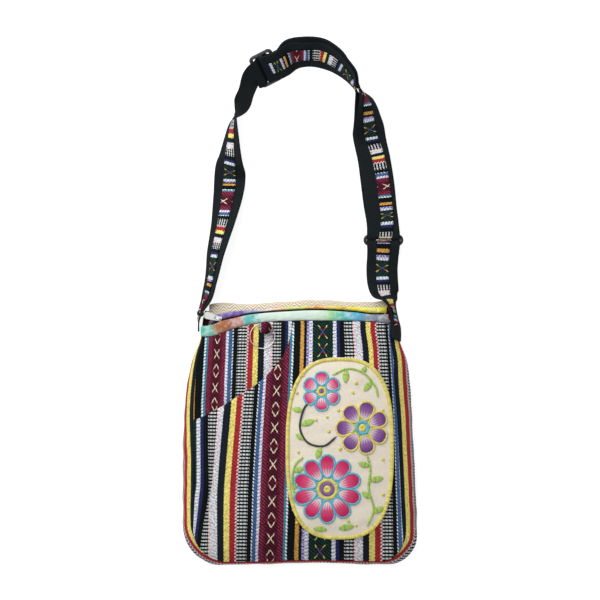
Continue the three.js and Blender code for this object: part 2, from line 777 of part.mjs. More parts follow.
// Flat ribbon along a path: lines across it as shares of the half width, thickness and height above the path.
const strapLines = [-1, -BAND_SHARE, BAND_SHARE, 1];
const bandLines = [-BAND_SHARE, BAND_SHARE];
function ribbon(path, first, last, lines, thickness, lift, aside = () => 0) {
  const curve = new THREE.CatmullRomCurve3(path.map((section) => section.middle));
  const middleAt = (t) => curve.getPoint(THREE.MathUtils.clamp(t / (path.length - 1), 0, 1));
  const sides = path.map((section) => section.side);
  const widths = path.map((section) => new THREE.Vector3(section.width, 0, 0));
  const count = Math.round((last - first) * STRAP_STEPS);
  const sections = steps(count).map((step) => {
    const t = THREE.MathUtils.lerp(first, last, step);
    const along = middleAt(t + 0.05).sub(middleAt(t - 0.05)).normalize();
    const side = blend(sides, t);
    side.addScaledVector(along, -side.dot(along)).normalize();
    const up = new THREE.Vector3().crossVectors(side, along);
    const half = blend(widths, t).x / 2;
    const corner = (across, above) =>
      middleAt(t)
        .addScaledVector(side, across * half + aside(t))
        .addScaledVector(up, lift + (above * thickness) / 2);
    const under = lines.map((across) => corner(across, -1));
    const over = lines.map((across) => corner(across, 1)).reverse();
    return [...under, ...over];
  });
  return sweep(sections);
}
const bandLift = STRAP / 2 + GAP + BAND / 2;
const longEnd = longPath.length - 1;
const shortEnd = shortPath.length - 1;

// Round rod bent along a closed path.
function closedRod(points, radius, corners) {
  const count = points.length;
  const sections = points.map((point, i) => {
    const along = points[(i + 1) % count].clone().sub(points[(i + count - 1) % count]).normalize();
    const out = new THREE.Vector3(0, 0, 1).cross(along).normalize();
    const up = new THREE.Vector3().crossVectors(along, out);
    return Array.from({ length: corners }, (_, k) => {
      const angle = (k / corners) * 2 * Math.PI;
      const around = out.clone().multiplyScalar(Math.cos(angle)).addScaledVector(up, Math.sin(angle));
      return point.clone().addScaledVector(around, radius);
    });
  });
  return sweep(sections, true);
}

// Oblong loop with four rounded corners.
const ringMiddleY = (RING_TOP_BAR + RING_LOW_BAR) / 2;
const ringHalfHeight = (RING_TOP_BAR - RING_LOW_BAR) / 2;
const ringPoints = Array.from({ length: 24 }, (_, i) => {
  const quarter = Math.floor(i / 6);
  const angle = (quarter + (i % 6) / 5) * 90 * DEGREE;
  const towardsX = quarter === 0 || quarter === 3 ? 1 : -1;
  const towardsY = quarter < 2 ? 1 : -1;
  const x = RING_X + towardsX * (RING_HALF_WIDTH - RING_CORNER) + RING_CORNER * Math.cos(angle);
  const y = ringMiddleY + towardsY * (ringHalfHeight - RING_CORNER) + RING_CORNER * Math.sin(angle);
  return new THREE.Vector3(x, y, RING_HEIGHT);
});

// The key ring lies on the slope of the front panel, round the button's shank.
const keyRingPoints = Array.from({ length: 28 }, (_, i) => {
  const angle = (i / 28) * 2 * Math.PI;
  const x = KEY_RING_X + KEY_RING_RADIUS * Math.cos(angle);
  const y = KEY_RING_Y + KEY_RING_RADIUS * Math.sin(angle);
  const lift = WALL / 2 + GAP + KEY_RING_WIRE + KEY_RING_LIFT;
  return new THREE.Vector3(x, y, frontHeight(x, y) + lift);
});

// Ball button and shank turned about one upright axis.
const buttonBase = frontHeight(BUTTON_X, BUTTON_Y) + WALL / 2 + GAP;
const buttonProfile = [
  new THREE.Vector2(0, 0),
  new THREE.Vector2(SHANK_RADIUS, 0),
  new THREE.Vector2(SHANK_RADIUS, SHANK_LENGTH),
  ...steps(8)
    .slice(1)
    .map((share) => {
      const angle = THREE.MathUtils.lerp(BALL_START, 90, share) * DEGREE;
      const height = SHANK_LENGTH + BUTTON_RADIUS * (BALL_SEAT + Math.sin(angle));
      return new THREE.Vector2(Math.max(BUTTON_RADIUS * Math.cos(angle), 0), height);
    }),
];
buttonProfile[buttonProfile.length - 1].x = 0;
const buttonGeometry = new THREE.LatheGeometry(buttonProfile, 14);
buttonGeometry.rotateX(Math.PI / 2);
buttonGeometry.translate(BUTTON_X, BUTTON_Y, buttonBase);

// Two solids fused into one.
const wasm = await Module();
wasm.setup();
function manifoldOf(geometry) {
  const bare = geometry.clone();
  bare.deleteAttribute("normal");
  bare.deleteAttribute("uv");
  const merged = mergeVertices(bare, 1e-4);
  const mesh = new wasm.Mesh({
    numProp: 3,
    vertProperties: merged.attributes.position.array,
    triVerts: new Uint32Array(merged.index.array),
  });
  return new wasm.Manifold(mesh);
}
function fuse(first, second) {
  const mesh = manifoldOf(first).add(manifoldOf(second)).getMesh();
  const geometry = new THREE.BufferGeometry();
  geometry.setAttribute("position", new THREE.BufferAttribute(mesh.vertProperties, 3));
  geometry.setIndex(new THREE.BufferAttribute(mesh.triVerts, 1));
  geometry.computeVertexNormals();
  return geometry;
}

// Zip slider: a block with a round bridge over the pull's crossbar, made about the pull's axis.
const blockBase = BACK_BINDING_HEIGHT + BACK_BINDING_CROWN + BACK_BINDING / 2 + GAP;
const pivotHeight = blockBase + ZIP_BODY_HEIGHT + BRIDGE_OUTER - BRIDGE_FOOT;
const pullFrame = new THREE.Matrix4()
  .makeRotationZ(PULL_HEADING * DEGREE)
  .setPosition(PULL_X, PULL_Y, pivotHeight);
const bridgeShape = new THREE.Shape();
bridgeShape.moveTo(-BRIDGE_OUTER, -BRIDGE_OUTER);
bridgeShape.lineTo(BRIDGE_OUTER, -BRIDGE_OUTER);
bridgeShape.absarc(0, 0, BRIDGE_OUTER, 0, Math.PI, false);
const bridgeHole = new THREE.Path().absarc(0, 0, BRIDGE_INNER, 0, 2 * Math.PI, true);
bridgeShape.holes.push(bridgeHole);
const bridge = new THREE.ExtrudeGeometry(bridgeShape, {
  depth: BRIDGE_WIDTH,
  bevelEnabled: false,
  curveSegments: 10,
});
bridge.translate(0, 0, -BRIDGE_WIDTH / 2);
bridge.rotateX(Math.PI / 2);
const zipBlock = new THREE.BoxGeometry(ZIP_BODY_LENGTH, ZIP_BODY_WIDTH, ZIP_BODY_HEIGHT);
zipBlock.translate(0, 0, BRIDGE_FOOT - BRIDGE_OUTER - ZIP_BODY_HEIGHT / 2);
const zipSlider = fuse(bridge, zipBlock).applyMatrix4(pullFrame);

// Pull tab: a plate whose end bar runs under the bridge, lying along its own rise.
const restFrame = pullFrame.clone().multiply(new THREE.Matrix4().makeRotationY(-PULL_RISE * DEGREE));
const tabShape = new THREE.Shape();
tabShape.moveTo(-CROSSBAR_HALF, -PULL_WIDTH / 2 + PULL_TAPER);
tabShape.lineTo(PULL_LENGTH - PULL_WIDTH / 2, -PULL_WIDTH / 2);
tabShape.absarc(PULL_LENGTH - PULL_WIDTH / 2, 0, PULL_WIDTH / 2, -Math.PI / 2, Math.PI / 2, false);
tabShape.lineTo(-CROSSBAR_HALF, PULL_WIDTH / 2 - PULL_TAPER);
const eye = new THREE.Path();
eye.moveTo(CROSSBAR_HALF, -EYE_HALF);
eye.lineTo(CROSSBAR_HALF, EYE_HALF);
eye.lineTo(EYE_END, EYE_HALF);
eye.lineTo(EYE_END, -EYE_HALF);
tabShape.holes.push(eye);
const pullTab = new THREE.ExtrudeGeometry(tabShape, {
  depth: PULL_THICKNESS,
  bevelEnabled: false,
  curveSegments: 8,
});
pullTab.translate(0, 0, -PULL_THICKNESS / 2);
pullTab.applyMatrix4(restFrame);
const pullBead = new THREE.SphereGeometry(BEAD_RADIUS, 14, 10);
pullBead.translate(PULL_LENGTH + GAP + BEAD_RADIUS, 0, 0);
pullBead.applyMatrix4(restFrame);

// Three-bar slider of the strap: a rounded plate with two slots.
function roundedRectangle(shape, halfLength, halfWidth, radius, middle) {
  shape.moveTo(-halfLength + radius, middle - halfWidth);
  shape.absarc(halfLength - radius, middle - halfWidth + radius, radius, -Math.PI / 2, 0, false);
  shape.absarc(halfLength - radius, middle + halfWidth - radius, radius, 0, Math.PI / 2, false);
  shape.absarc(-halfLength + radius, middle + halfWidth - radius, radius, Math.PI / 2, Math.PI, false);
  shape.absarc(-halfLength + radius, middle - halfWidth + radius, radius, Math.PI, 1.5 * Math.PI, false);
  return shape;
}
const sliderHalf = [SLIDER_LENGTH / 2, SLIDER_WIDTH / 2];
const slotHalf = [SLIDER_SLOT_LENGTH / 2, SLIDER_SLOT / 2];
const sliderShape = roundedRectangle(new THREE.Shape(), ...sliderHalf, SLIDER_CORNER, 0);
for (const side of [-1, 1]) {
  const middle = (side * (SLIDER_BAR + SLIDER_SLOT)) / 2;
  sliderShape.holes.push(roundedRectangle(new THREE.Path(), ...slotHalf, SLOT_CORNER, middle));
}
const strapSlider = new THREE.ExtrudeGeometry(sliderShape, {
  depth: SLIDER_THICKNESS,
  bevelEnabled: false,
  curveSegments: 3,
});
strapSlider.translate(0, 0, -SLIDER_THICKNESS / 2);
strapSlider.applyMatrix4(
  new THREE.Matrix4()
    .makeBasis(sliderSide, sliderAlong.clone().negate(), sliderUp)
    .setPosition(sliderMiddle),
);

// Materials and pieces
const cloth = (color) => new THREE.MeshStandardMaterial({ color, roughness: 0.9, metalness: 0 });
const metal = (color) => new THREE.MeshStandardMaterial({ color, roughness: 0.3, metalness: 1 });
const plastic = (color, roughness) => new THREE.MeshStandardMaterial({ color, roughness, metalness: 0 });
const striped = cloth("#8a4a44");
const black = cloth("#20272a");
const tieDye = cloth("#a9cfc4");
const silver = metal("#d8d8d6");

const group = new THREE.Group();
function piece(name, geometry, material) {
  const mesh = new THREE.Mesh(geometry, material);
  mesh.name = name;
  group.add(mesh);
}
piece("back_panel", sheet(backGrid, WALL), striped);
piece("gusset", sheet(gussetGrid, WALL), cloth("#b03a3c"));
piece("front_panel", sheet(frontGrid, WALL), striped);
piece("pocket_panel", sheet(pocketGrid, WALL), cloth("#7a3f55"));
piece("top_facing", sheet(facingGrid, WALL), cloth("#f2ecdc"));
piece("binding_back", sheet(backBindingGrid, BACK_BINDING), cloth("#d7d55d"));
piece("binding_front", sheet(frontBindingGrid, BINDING), tieDye);
piece("zip_tape_back", sheet(backTapeGrid, TAPE), black);
piece("zip_tape_front", sheet(frontTapeGrid, TAPE), black);
piece("zip_slider", zipSlider, silver);
piece("zip_pull_tab", pullTab, silver);
piece("zip_pull_bead", pullBead, plastic("#0c0c0e", 0.15));
piece("button_ball", buttonGeometry, cloth("#3a1822"));
piece("key_ring", closedRod(keyRingPoints, KEY_RING_WIRE, 5), silver);
const groundPatch = patch(GROUND_X, GROUND_Y, groundRadius, 30, 5, groundHeight, PATCH);
piece("applique_ground", groundPatch, cloth("#f2e8d8"));
const flowerColours = ["#d5356b", "#875e92", "#c94f8d"];
FLOWERS.forEach((row, i) => piece(row.name, flower(row), cloth(flowerColours[i])));
piece("strap_long", ribbon(longPath, 0, longEnd, strapLines, STRAP, 0), black);
const longBand = ribbon(longPath, 1, longEnd - 6, bandLines, BAND, bandLift, bandAside);
piece("strap_long_band", longBand, striped);
piece("strap_short", ribbon(shortPath, 0, shortEnd, strapLines, STRAP, 0), black);
piece("strap_short_band", ribbon(shortPath, 1, shortEnd - 5, bandLines, BAND, bandLift), striped);
piece("strap_ring", closedRod(ringPoints, RING_ROD, 8), plastic("#2a2b2d", 0.5));
piece("strap_slider", strapSlider, plastic("#454749", 0.5));

export default group;
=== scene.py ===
from functools import partial
import bpy
import numpy as np
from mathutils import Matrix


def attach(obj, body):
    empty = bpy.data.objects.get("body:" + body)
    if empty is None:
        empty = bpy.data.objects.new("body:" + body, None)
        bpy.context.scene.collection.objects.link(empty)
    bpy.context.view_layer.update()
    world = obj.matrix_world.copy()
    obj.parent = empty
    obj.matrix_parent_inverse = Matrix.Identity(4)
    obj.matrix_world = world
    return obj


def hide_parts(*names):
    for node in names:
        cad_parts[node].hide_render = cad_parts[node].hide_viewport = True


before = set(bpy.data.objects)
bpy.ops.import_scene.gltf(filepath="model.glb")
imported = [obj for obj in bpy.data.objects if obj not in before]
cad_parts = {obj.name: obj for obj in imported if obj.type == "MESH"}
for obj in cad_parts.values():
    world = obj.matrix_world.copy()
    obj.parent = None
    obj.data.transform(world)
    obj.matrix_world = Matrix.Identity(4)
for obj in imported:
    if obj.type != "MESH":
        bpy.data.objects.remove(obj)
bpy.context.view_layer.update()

# A striped cotton file bag on its back, seen from above, with its strap laid out beyond the mouth.
# Shapes are worked out in millimetres in the CAD's frame and become metres in makePiece.
mm = 0.001
degree = np.pi / 180
print("frame loaded:", len(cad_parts), "nodes")


# Rows of numbers with their columns by name, and spare axes for grids that are laid out at each row.
def columns(names, rows, spare=0):
    table = np.array(rows, float).T
    return dict(zip(names.split(), table.reshape(table.shape + (1,) * spare)))


# Cubic pieces through the rows of a table by its first column, the slope at a row taken from its neighbours.
def lookUp(table, at, column):
    first = table[next(iter(table))]
    order = np.argsort(first)
    x, y = first[order], table[column][order]
    row = np.arange(len(x))
    back, ahead = np.maximum(row - 1, 0), np.minimum(row + 1, len(x) - 1)
    slope = (y[ahead] - y[back]) / (x[ahead] - x[back])
    at = np.asarray(at, float)
    i = np.clip(np.searchsorted(x, at, side="right") - 1, 0, len(x) - 2)
    span = x[i + 1] - x[i]
    t = np.clip((at - x[i]) / span, 0, 1)
    ease = t * t * (3 - 2 * t)
    level = y[i] * (1 - ease) + y[i + 1] * ease
    return level + slope[i] * span * t * (1 - t) ** 2 - slope[i + 1] * span * t * t * (1 - t)


# 0 below low, 1 above high and an S-shaped rise between them.
def easeBetween(value, low, high):
    t = np.clip((value - low) / (high - low), 0, 1)
    return t * t * (3 - 2 * t)


# A share of the way from a to b.
def between(a, b, share):
    return a + (b - a) * share


# Vectors brought to length one.
def unit(vectors):
    return vectors / np.linalg.norm(vectors, axis=-1, keepdims=True)


# Bell curve: exp of minus a power of the distance in widths.
def bell(distance, width=1, power=2):
    return np.exp(-((distance / width) ** power))


# Coordinates side by side in one array, spread over the same grid.
def stacked(*parts):
    return np.stack(np.broadcast_arrays(*parts), -1)


# Angles of a closed ring of points.
def ringAngles(count):
    return np.linspace(0, 2 * np.pi, count, endpoint=False)


# Points at an angle and a distance from x, y.
def polar(x, y, radius, angle):
    return x + radius * np.cos(angle), y + radius * np.sin(angle)


# Two parameters over a grid, both from 0 to 1.
def unitGrid(across, along):
    return np.meshgrid(np.linspace(0, 1, across), np.linspace(0, 1, along))


# Uneven cloth: a mean of sine waves in seeded directions, each near one wavelength, about -1 to 1.
def ripple(x, y, wavelength, seed, waves=8):
    draw = np.random.default_rng(seed)
    heading = draw.uniform(0, np.pi, waves)
    number = 2 * np.pi / (wavelength * draw.uniform(0.7, 1.5, waves))
    phase = draw.uniform(0, 2 * np.pi, waves)
    along = x[..., None] * np.cos(heading) + y[..., None] * np.sin(heading)
    return 1.8 * np.sin(along * number + phase).mean(-1)


# Length along a grid's rows or columns, added up from point to point.
def lengthAlong(points, axis):
    step = np.linalg.norm(np.diff(points, axis=axis), axis=-1)
    start = np.zeros_like(np.take(step, [0], axis=axis))
    return np.concatenate([start, np.cumsum(step, axis=axis)], axis=axis)


# Grids of points (parts, rows, columns, xyz) become quads. Wrapped rows or columns meet again, caps close the
# ends of a tube, thickness grows cloth evenly to both sides, and cloth is each point's place on its threads.
def makePiece(name, points, material, slot, replaces=(), body="bag", cloth=None, thickness=0,
              wrapRows=False, wrapColumns=False, caps=False):
    points = points.reshape((-1,) + points.shape[-3:])
    index = np.arange(points[..., 0].size).reshape(points.shape[:3])
    lower, upper = (index, np.roll(index, -1, 1)) if wrapRows else (index[:, :-1], index[:, 1:])
    if wrapColumns:
        corners = [lower, np.roll(lower, -1, 2), np.roll(upper, -1, 2), upper]
    else:
        corners = [lower[..., :-1], lower[..., 1:], upper[..., 1:], upper[..., :-1]]
    quads = np.stack(corners, -1).reshape(-1, 4)
    ends = np.concatenate([index[:, 0, ::-1], index[:, -1]]) if caps else index[:0, 0]
    if wrapColumns:  # turned so that a closed form faces outwards
        a, b, c, d = (points - points.mean((1, 2), keepdims=True)).reshape(-1, 3)[quads].transpose(1, 0, 2)
        if (np.cross(b, c) * a).sum() + (np.cross(c, d) * a).sum() < 0:
            quads, ends = quads[:, ::-1], ends[:, ::-1]
    mesh = bpy.data.meshes.new(name)
    mesh.from_pydata((points.reshape(-1, 3) * mm).tolist(), [], quads.tolist() + ends.tolist())
    mesh.shade_smooth()
    if not thickness:
        mesh.set_sharp_from_angle(angle=50 * degree)
    if cloth is not None:
        vertex = np.empty(len(mesh.loops), np.int32)
        mesh.loops.foreach_get("vertex_index", vertex)
        mesh.uv_layers.new(name="cloth").data.foreach_set("uv", cloth.reshape(-1, 2)[vertex].ravel())
    mesh.materials.append(material)
    piece = bpy.data.objects.new(name, mesh)
    bpy.context.collection.objects.link(piece)
    if thickness:
        wall = piece.modifiers.new("wall", "SOLIDIFY")
        wall.thickness = thickness * mm
        wall.offset = 0
    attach(piece, body)
    if replaces:
        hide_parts(*replaces)
    return piece


# A tube that meets itself, and one with two ends.
closedTube = dict(wrapRows=True, wrapColumns=True)
cappedTube = dict(wrapColumns=True, caps=True)


# Tube: an oval of given half width and half height stands across a path, ring = middle + across cos + up sin.
def ovalTube(middle, across, up, halfWidth, halfHeight, corners):
    angle = ringAngles(corners)[:, None]
    width = np.asarray(halfWidth)[..., None, None] * np.cos(angle)
    height = np.asarray(halfHeight)[..., None, None] * np.sin(angle)
    return middle[..., None, :] + across[..., None, :] * width + up[..., None, :] * height


# sRGB hex text to linear red, green, blue and alpha; any other value passes through.
def hexColour(value):
    if not isinstance(value, str):
        return value
    light = np.array([int(value[i:i + 2], 16) for i in (1, 3, 5)]) / 255
    linear = np.where(light <= 0.04045, light / 12.92, ((light + 0.055) / 1.055) ** 2.4)
    return (*linear.tolist(), 1.0)


# Sets a node's inputs by number, or by name with underscores for spaces; an output there makes a link.
def fill(node, inputs):
    for key, value in inputs.items():
        socket = node.inputs[key.replace("_", " ") if isinstance(key, str) else key]
        if isinstance(value, bpy.types.NodeSocket):
            node.id_data.links.new(value, socket)
        else:
            socket.default_value = hexColour(value)


# Adds a node. The word after its kind is its operation, inputs go in order or by name with a capital, stops
# fill a colour ramp, and the other names are its own settings.
def addNode(tree, kind, *inputs, stops=(), interpolation="LINEAR", **named):
    kind, _, operation = kind.partition(" ")
    node = tree.nodes.new("ShaderNode" + kind)
    if operation:
        node.operation = operation
    for key in [key for key in named if key.islower()]:
        setattr(node, key, named.pop(key))
    if stops:
        ramp = node.color_ramp
        ramp.interpolation = interpolation
        ramp.elements.remove(ramp.elements[1])
        for k, (position, colour) in enumerate(stops):
            stop = ramp.elements.new(position) if k else ramp.elements[0]
            stop.position, stop.color = position, hexColour(colour)
    fill(node, {**dict(enumerate(inputs)), **named})
    return node.outputs[0]


# Sets values or links on the sockets of a material's shader.
def dress(material, **values):
    fill(material.node_tree.nodes["Principled BSDF"], values)
    return material


# New material with its shader's fixed values, and addNode for its own tree.
def newMaterial(name, **values):
    material = bpy.data.materials.new(name)
    material.use_nodes = True
    return dress(material, **values), partial(addNode, material.node_tree)


# Hand-woven cotton: matte stripes along the warp, with floats of a second thread, checks and small figures.
# Widths and pitches are in mm on the cloth; single threads are coarsened to about 2 mm so that they show.
stripes = [  # width, ground, float, float pitch, share of the pitch, slant, parted into columns
    (4.4, "#e6e6ec", "#9298aa", 3.9, 0.24, 0.0, 0),
    (4.0, "#26316f", "#141a3c", 2.4, 0.4, 0.8, 0),
    (6.4, "#07090b", "#12171a", 2.2, 0.35, 0.9, 0),
    (11.0, "#0b0e11", "#cdd2d2", 3.9, 0.48, 0.0, 1),
    (2.4, "#cf7f8b", "#f0dcde", 3.9, 0.45, 0.0, 0),
    (8.4, "#e6e6ea", "#868b98", 3.3, 0.12, 0.5, 0),
    (7.2, "#0d121b", "#1b232e", 2.3, 0.4, 0.9, 0),
    (6.6, "#f8e87e", "#a89a3c", 2.9, 0.16, -0.8, 0),
    (7.0, "#b5232b", "#74101a", 3.4, 0.3, 0.8, 0),
    (2.2, "#f3e3e4", "#a8323f", 3.9, 0.45, 0.0, 0),
    (13.0, "#0b0e11", "#d0d5d5", 3.9, 0.48, 0.0, 1),
    (4.8, "#07090b", "#12171a", 2.2, 0.35, 0.9, 0),
    (1.7, "#0a0d12", "#e9edf2", 3.9, 0.5, 0.0, 0),
    (4.5, "#446a9c", "#264674", 3.4, 0.32, 0.8, 0),
    (3.9, "#e6e6ee", "#8f98b4", 3.9, 0.28, 0.0, 0),
    (28.0, "#95294b", "#420d22", 3.8, 0.42, 0.8, 0),
    (2.9, "#3b8ea8", "#296b82", 2.4, 0.35, 0.8, 0),
    (2.1, "#2f7389", "#edf2f3", 3.9, 0.6, 0.0, 0),
    (8.6, "#07090b", "#12171a", 2.2, 0.35, 0.9, 0),
    (5.0, "#e5a94a", "#8f6a28", 2.7, 0.25, 0.8, 0),
    (3.4, "#07090b", "#12171a", 2.2, 0.35, 0.9, 0),
    (3.6, "#574796", "#d3d0ea", 3.9, 0.2, 0.0, 0),
    (4.6, "#e6e6ee", "#9795b6", 3.9, 0.28, 0.0, 0),
    (28.0, "#1c3f38", "#06110e", 3.8, 0.42, 0.8, 0),
]
stripeEdge = np.concatenate([[0], np.cumsum([row[0] for row in stripes])])
repeat = stripeEdge[-1]
weave = dict(tooth=1.95, scallop=0.45, column=2.1, columnGap=0.45, twill=0.9, dyeBase=0.52)
# Figures in mm: middle of the stripe, start and pitch along it, slope, half thickness and reach of a cross,
# the fading column and the field behind the maroon ones, and the blue heart of the green ones.
maroon = dict(middle=stripeEdge[15:17].mean(), start=0.0, pitch=20.8, slope=0.74, thick=0.7, reach=7.0,
              column=(10.0, 6.0), field=13.0)
green = dict(middle=stripeEdge[23:25].mean(), start=4.8, pitch=10.3, slope=0.81, thick=0.6, reach=7.6,
             heart=1.7)
diamonds = dict(slope=0.64, halfWidth=5.4, thick=0.65, reach=8.4)
threadTips = 3.9  # the arms of both crosses change colour this far from the middle


def wovenStripes(name, dye):
    material, add = newMaterial(name, Roughness=0.92, Specular_IOR_Level=0.12)
    place = add("SeparateXYZ", add("UVMap", uv_map="cloth")).node.outputs
    across, along = place["X"], place["Y"]

    # the crossing threads scallop every edge between stripes
    tooth = add("Math PINGPONG", along, weave["tooth"])
    moved = add("Math MULTIPLY_ADD", tooth, weave["scallop"], across)
    local = add("Math FLOORED_MODULO", moved, repeat)
    share = add("Math DIVIDE", local, repeat)
    coded = [(ground, second, (pitch / 10, part, 0.5 + slant / 2, parted))
             for _, ground, second, pitch, part, slant, parted in stripes]
    ground, overlay, figures = [
        add("ValToRGB", share, stops=list(zip(stripeEdge[:-1] / repeat, values)), interpolation="CONSTANT")
        for values in zip(*coded)]
    figure, parted = add("SeparateColor", figures).node.outputs, figures.node.outputs["Alpha"]
    pitch = add("Math MULTIPLY", figure[0], 10.0)
    slant = add("Math MULTIPLY_ADD", figure[2], 2.0, -1.0)
    slanted = add("Math MULTIPLY_ADD", across, slant, along)
    part = add("Math FRACT", add("Math DIVIDE", slanted, pitch))
    bar = add("Math LESS_THAN", part, figure[1])
    column = add("Math PINGPONG", local, weave["column"])
    gap = add("Math MULTIPLY", add("Math LESS_THAN", column, weave["columnGap"]), parted)
    bar = add("Math SUBTRACT", bar, gap, use_clamp=True)
    colour = add("MixRGB", bar, ground, overlay)

    # slubs: specks of the second thread where a warp end slips, not among the checks
    flat = add("CombineXYZ", across, along)
    slub = add("TexNoise", Vector=flat, Scale=0.5, Detail=2.0, Roughness=0.6)
    speck = add("MapRange", Value=slub, From_Min=0.5, From_Max=0.6, To_Max=0.75)
    speck = add("Math SUBTRACT", speck, parted, use_clamp=True)
    colour = add("MixRGB", speck, colour, overlay)

    # crosses along the middle of a stripe: distance aside against distance along times a slope
    def crosses(shape):
        aside = add("Math ABSOLUTE", add("Math SUBTRACT", local, shape["middle"]))
        turn = add("Math PINGPONG", add("Math SUBTRACT", along, shape["start"]), shape["pitch"])
        arm = add("Math MULTIPLY", turn, shape["slope"])
        cross = add("Math COMPARE", aside, arm, shape["thick"])
        inside = add("Math LESS_THAN", turn, shape["reach"])
        return aside, turn, add("Math MULTIPLY", cross, inside)

    # maroon stripe: cream crosses and long diamonds in turn, red at their sides, on a darker column
    aside, turn, cross = crosses(maroon)
    outer, inner = maroon["column"]
    column = add("MapRange", Value=aside, From_Min=outer, From_Max=inner, To_Max=0.7)
    column = add("Math MULTIPLY", column, add("Math LESS_THAN", aside, maroon["field"]))
    colour = add("MixRGB", column, colour, "#240811")
    rise = diamonds["halfWidth"] - diamonds["slope"] * maroon["pitch"]
    edge = add("Math MULTIPLY_ADD", turn, diamonds["slope"], rise)
    diamond = add("Math COMPARE", aside, edge, diamonds["thick"])
    inside = add("Math GREATER_THAN", turn, maroon["pitch"] - diamonds["reach"])
    mask = add("Math MAXIMUM", cross, add("Math MULTIPLY", diamond, inside))
    tips = add("Math GREATER_THAN", aside, threadTips)
    colour = add("MixRGB", mask, colour, add("MixRGB", tips, "#e6d3b8", "#8d343a"))

    # green stripe: thin crosses with blue hearts, red arms and yellow tips
    aside, turn, cross = crosses(green)
    arms = add("Math GREATER_THAN", aside, green["heart"])
    tips = add("Math GREATER_THAN", aside, threadTips)
    thread = add("MixRGB", tips, add("MixRGB", arms, "#3b4c9a", "#a8323c"), "#ecd56a")
    colour = add("MixRGB", cross, colour, thread)

    # uneven dye from thread to thread, and a fine twill that catches the light
    uneven = add("TexNoise", Vector=flat, Scale=0.33, Detail=4.0)
    value = add("Math MULTIPLY_ADD", uneven, dye, weave["dyeBase"] * dye)
    colour = add("HueSaturation", Saturation=0.96, Value=value, Color=colour)
    twill = add("Math PINGPONG", add("Math ADD", along, across), weave["twill"])
    height = add("Math MULTIPLY_ADD", bar, 0.5, add("Math ADD", twill, uneven))
    bump = add("Bump", Strength=0.5, Distance=0.0005, Height=height)
    return dress(material, Base_Color=colour, Normal=bump)


# Cream herringbone cotton: matte, with brownish zigzag lines 4 mm apart that turn every 7.5 mm.
def creamHerringbone():
    material, add = newMaterial("creamHerringboneCotton", Roughness=0.9, Specular_IOR_Level=0.2)
    place = add("SeparateXYZ", add("UVMap", uv_map="cloth")).node.outputs
    slanted = add("Math ADD", place["Y"], add("Math PINGPONG", place["X"], 7.5))
    line = add("Math PINGPONG", slanted, 2.0)
    uneven = add("TexNoise", Scale=180.0, Detail=3.0)
    mixed = add("Math MULTIPLY_ADD", uneven, 0.3, line)
    colour = add("ValToRGB", mixed, stops=[(0.46, "#7d5d39"), (0.82, "#e0d5bf"), (1.0, "#ebe2cd")])
    bump = add("Bump", Strength=0.4, Distance=0.0004, Height=mixed)
    return dress(material, Base_Color=colour, Normal=bump)


# Tie-dyed cotton: dye that runs along the strip, blotched and paled where it was tied, with a fine weave.
def tieDyed(name, dyes):
    material, add = newMaterial(name, Roughness=0.88, Sheen_Weight=0.05)
    place = add("TexCoord").node.outputs["Object"]
    blotch = add("TexNoise", Vector=place, Scale=75.0, Detail=5.0, Roughness=0.75)
    run = add("Math MULTIPLY_ADD", blotch, 0.04, add("SeparateXYZ", place))
    start, end, drift = -0.135, 0.135, 0.02
    share = add("MapRange", Value=run, From_Min=start + drift, From_Max=end + drift)
    colour = add("ValToRGB", share, stops=[((x * mm - start) / (end - start), dye) for x, dye in dyes])
    pale = add("TexNoise", Vector=place, Scale=110.0, Detail=5.0, Roughness=0.7)
    fade = add("MapRange", Value=pale, From_Min=0.45, From_Max=0.7, To_Max=0.5)
    colour = add("MixRGB", fade, colour, "#eef3ec")
    threads = add("TexWave", Vector=place, Scale=220.0, Distortion=1.5, bands_direction="DIAGONAL")
    bump = add("Bump", Strength=0.35, Distance=0.0004, Height=threads)
    return dress(material, Base_Color=colour, Normal=bump)


# Dyed cotton of one colour, matte: twill lines of a given pitch in mm over uneven dye.
def plainTwill(name, dark, light, pitch, roughness=0.9, gloss=0.3):
    material, add = newMaterial(name, Roughness=roughness, Specular_IOR_Level=gloss)
    place = add("TexCoord").node.outputs["Object"]
    axis = add("SeparateXYZ", place).node.outputs
    line = add("Math PINGPONG", add("Math ADD", axis["X"], axis["Y"]), pitch * mm)
    level = add("Math MULTIPLY", line, 1 / (pitch * mm))
    uneven = add("TexNoise", Vector=place, Scale=260.0, Detail=4.0)
    mixed = add("Math MULTIPLY_ADD", uneven, 0.6, level)
    colour = add("ValToRGB", mixed, stops=[(0.25, dark), (0.95, light)])
    bump = add("Bump", Strength=0.4, Distance=0.0003, Height=mixed)
    return dress(material, Base_Color=colour, Normal=bump)


# Printed petal cotton: pale heart, strong rim and a few dark veins from the heart outwards.
def petalCotton(name, heart, body, rim, vein):
    material, add = newMaterial(name, Roughness=0.88, Sheen_Weight=0.05)
    place = add("SeparateXYZ", add("UVMap", uv_map="cloth")).node.outputs
    uneven = add("TexNoise", Scale=240.0, Detail=3.0)
    run = add("Math MULTIPLY_ADD", uneven, 0.35, place["Y"])
    colour = add("ValToRGB", run, stops=[(0.3, heart), (0.62, body), (1.05 / 1.1, rim)])
    comb = add("Math PINGPONG", place["X"], 0.2)
    line = add("Math LESS_THAN", comb, 0.045)
    reach = add("MapRange", Value=run, From_Min=0.85, From_Max=0.45, To_Max=0.75)
    colour = add("MixRGB", add("Math MULTIPLY", line, reach), colour, vein)
    bump = add("Bump", Strength=0.35, Distance=0.0003, Height=uneven)
    return dress(material, Base_Color=colour, Normal=bump)


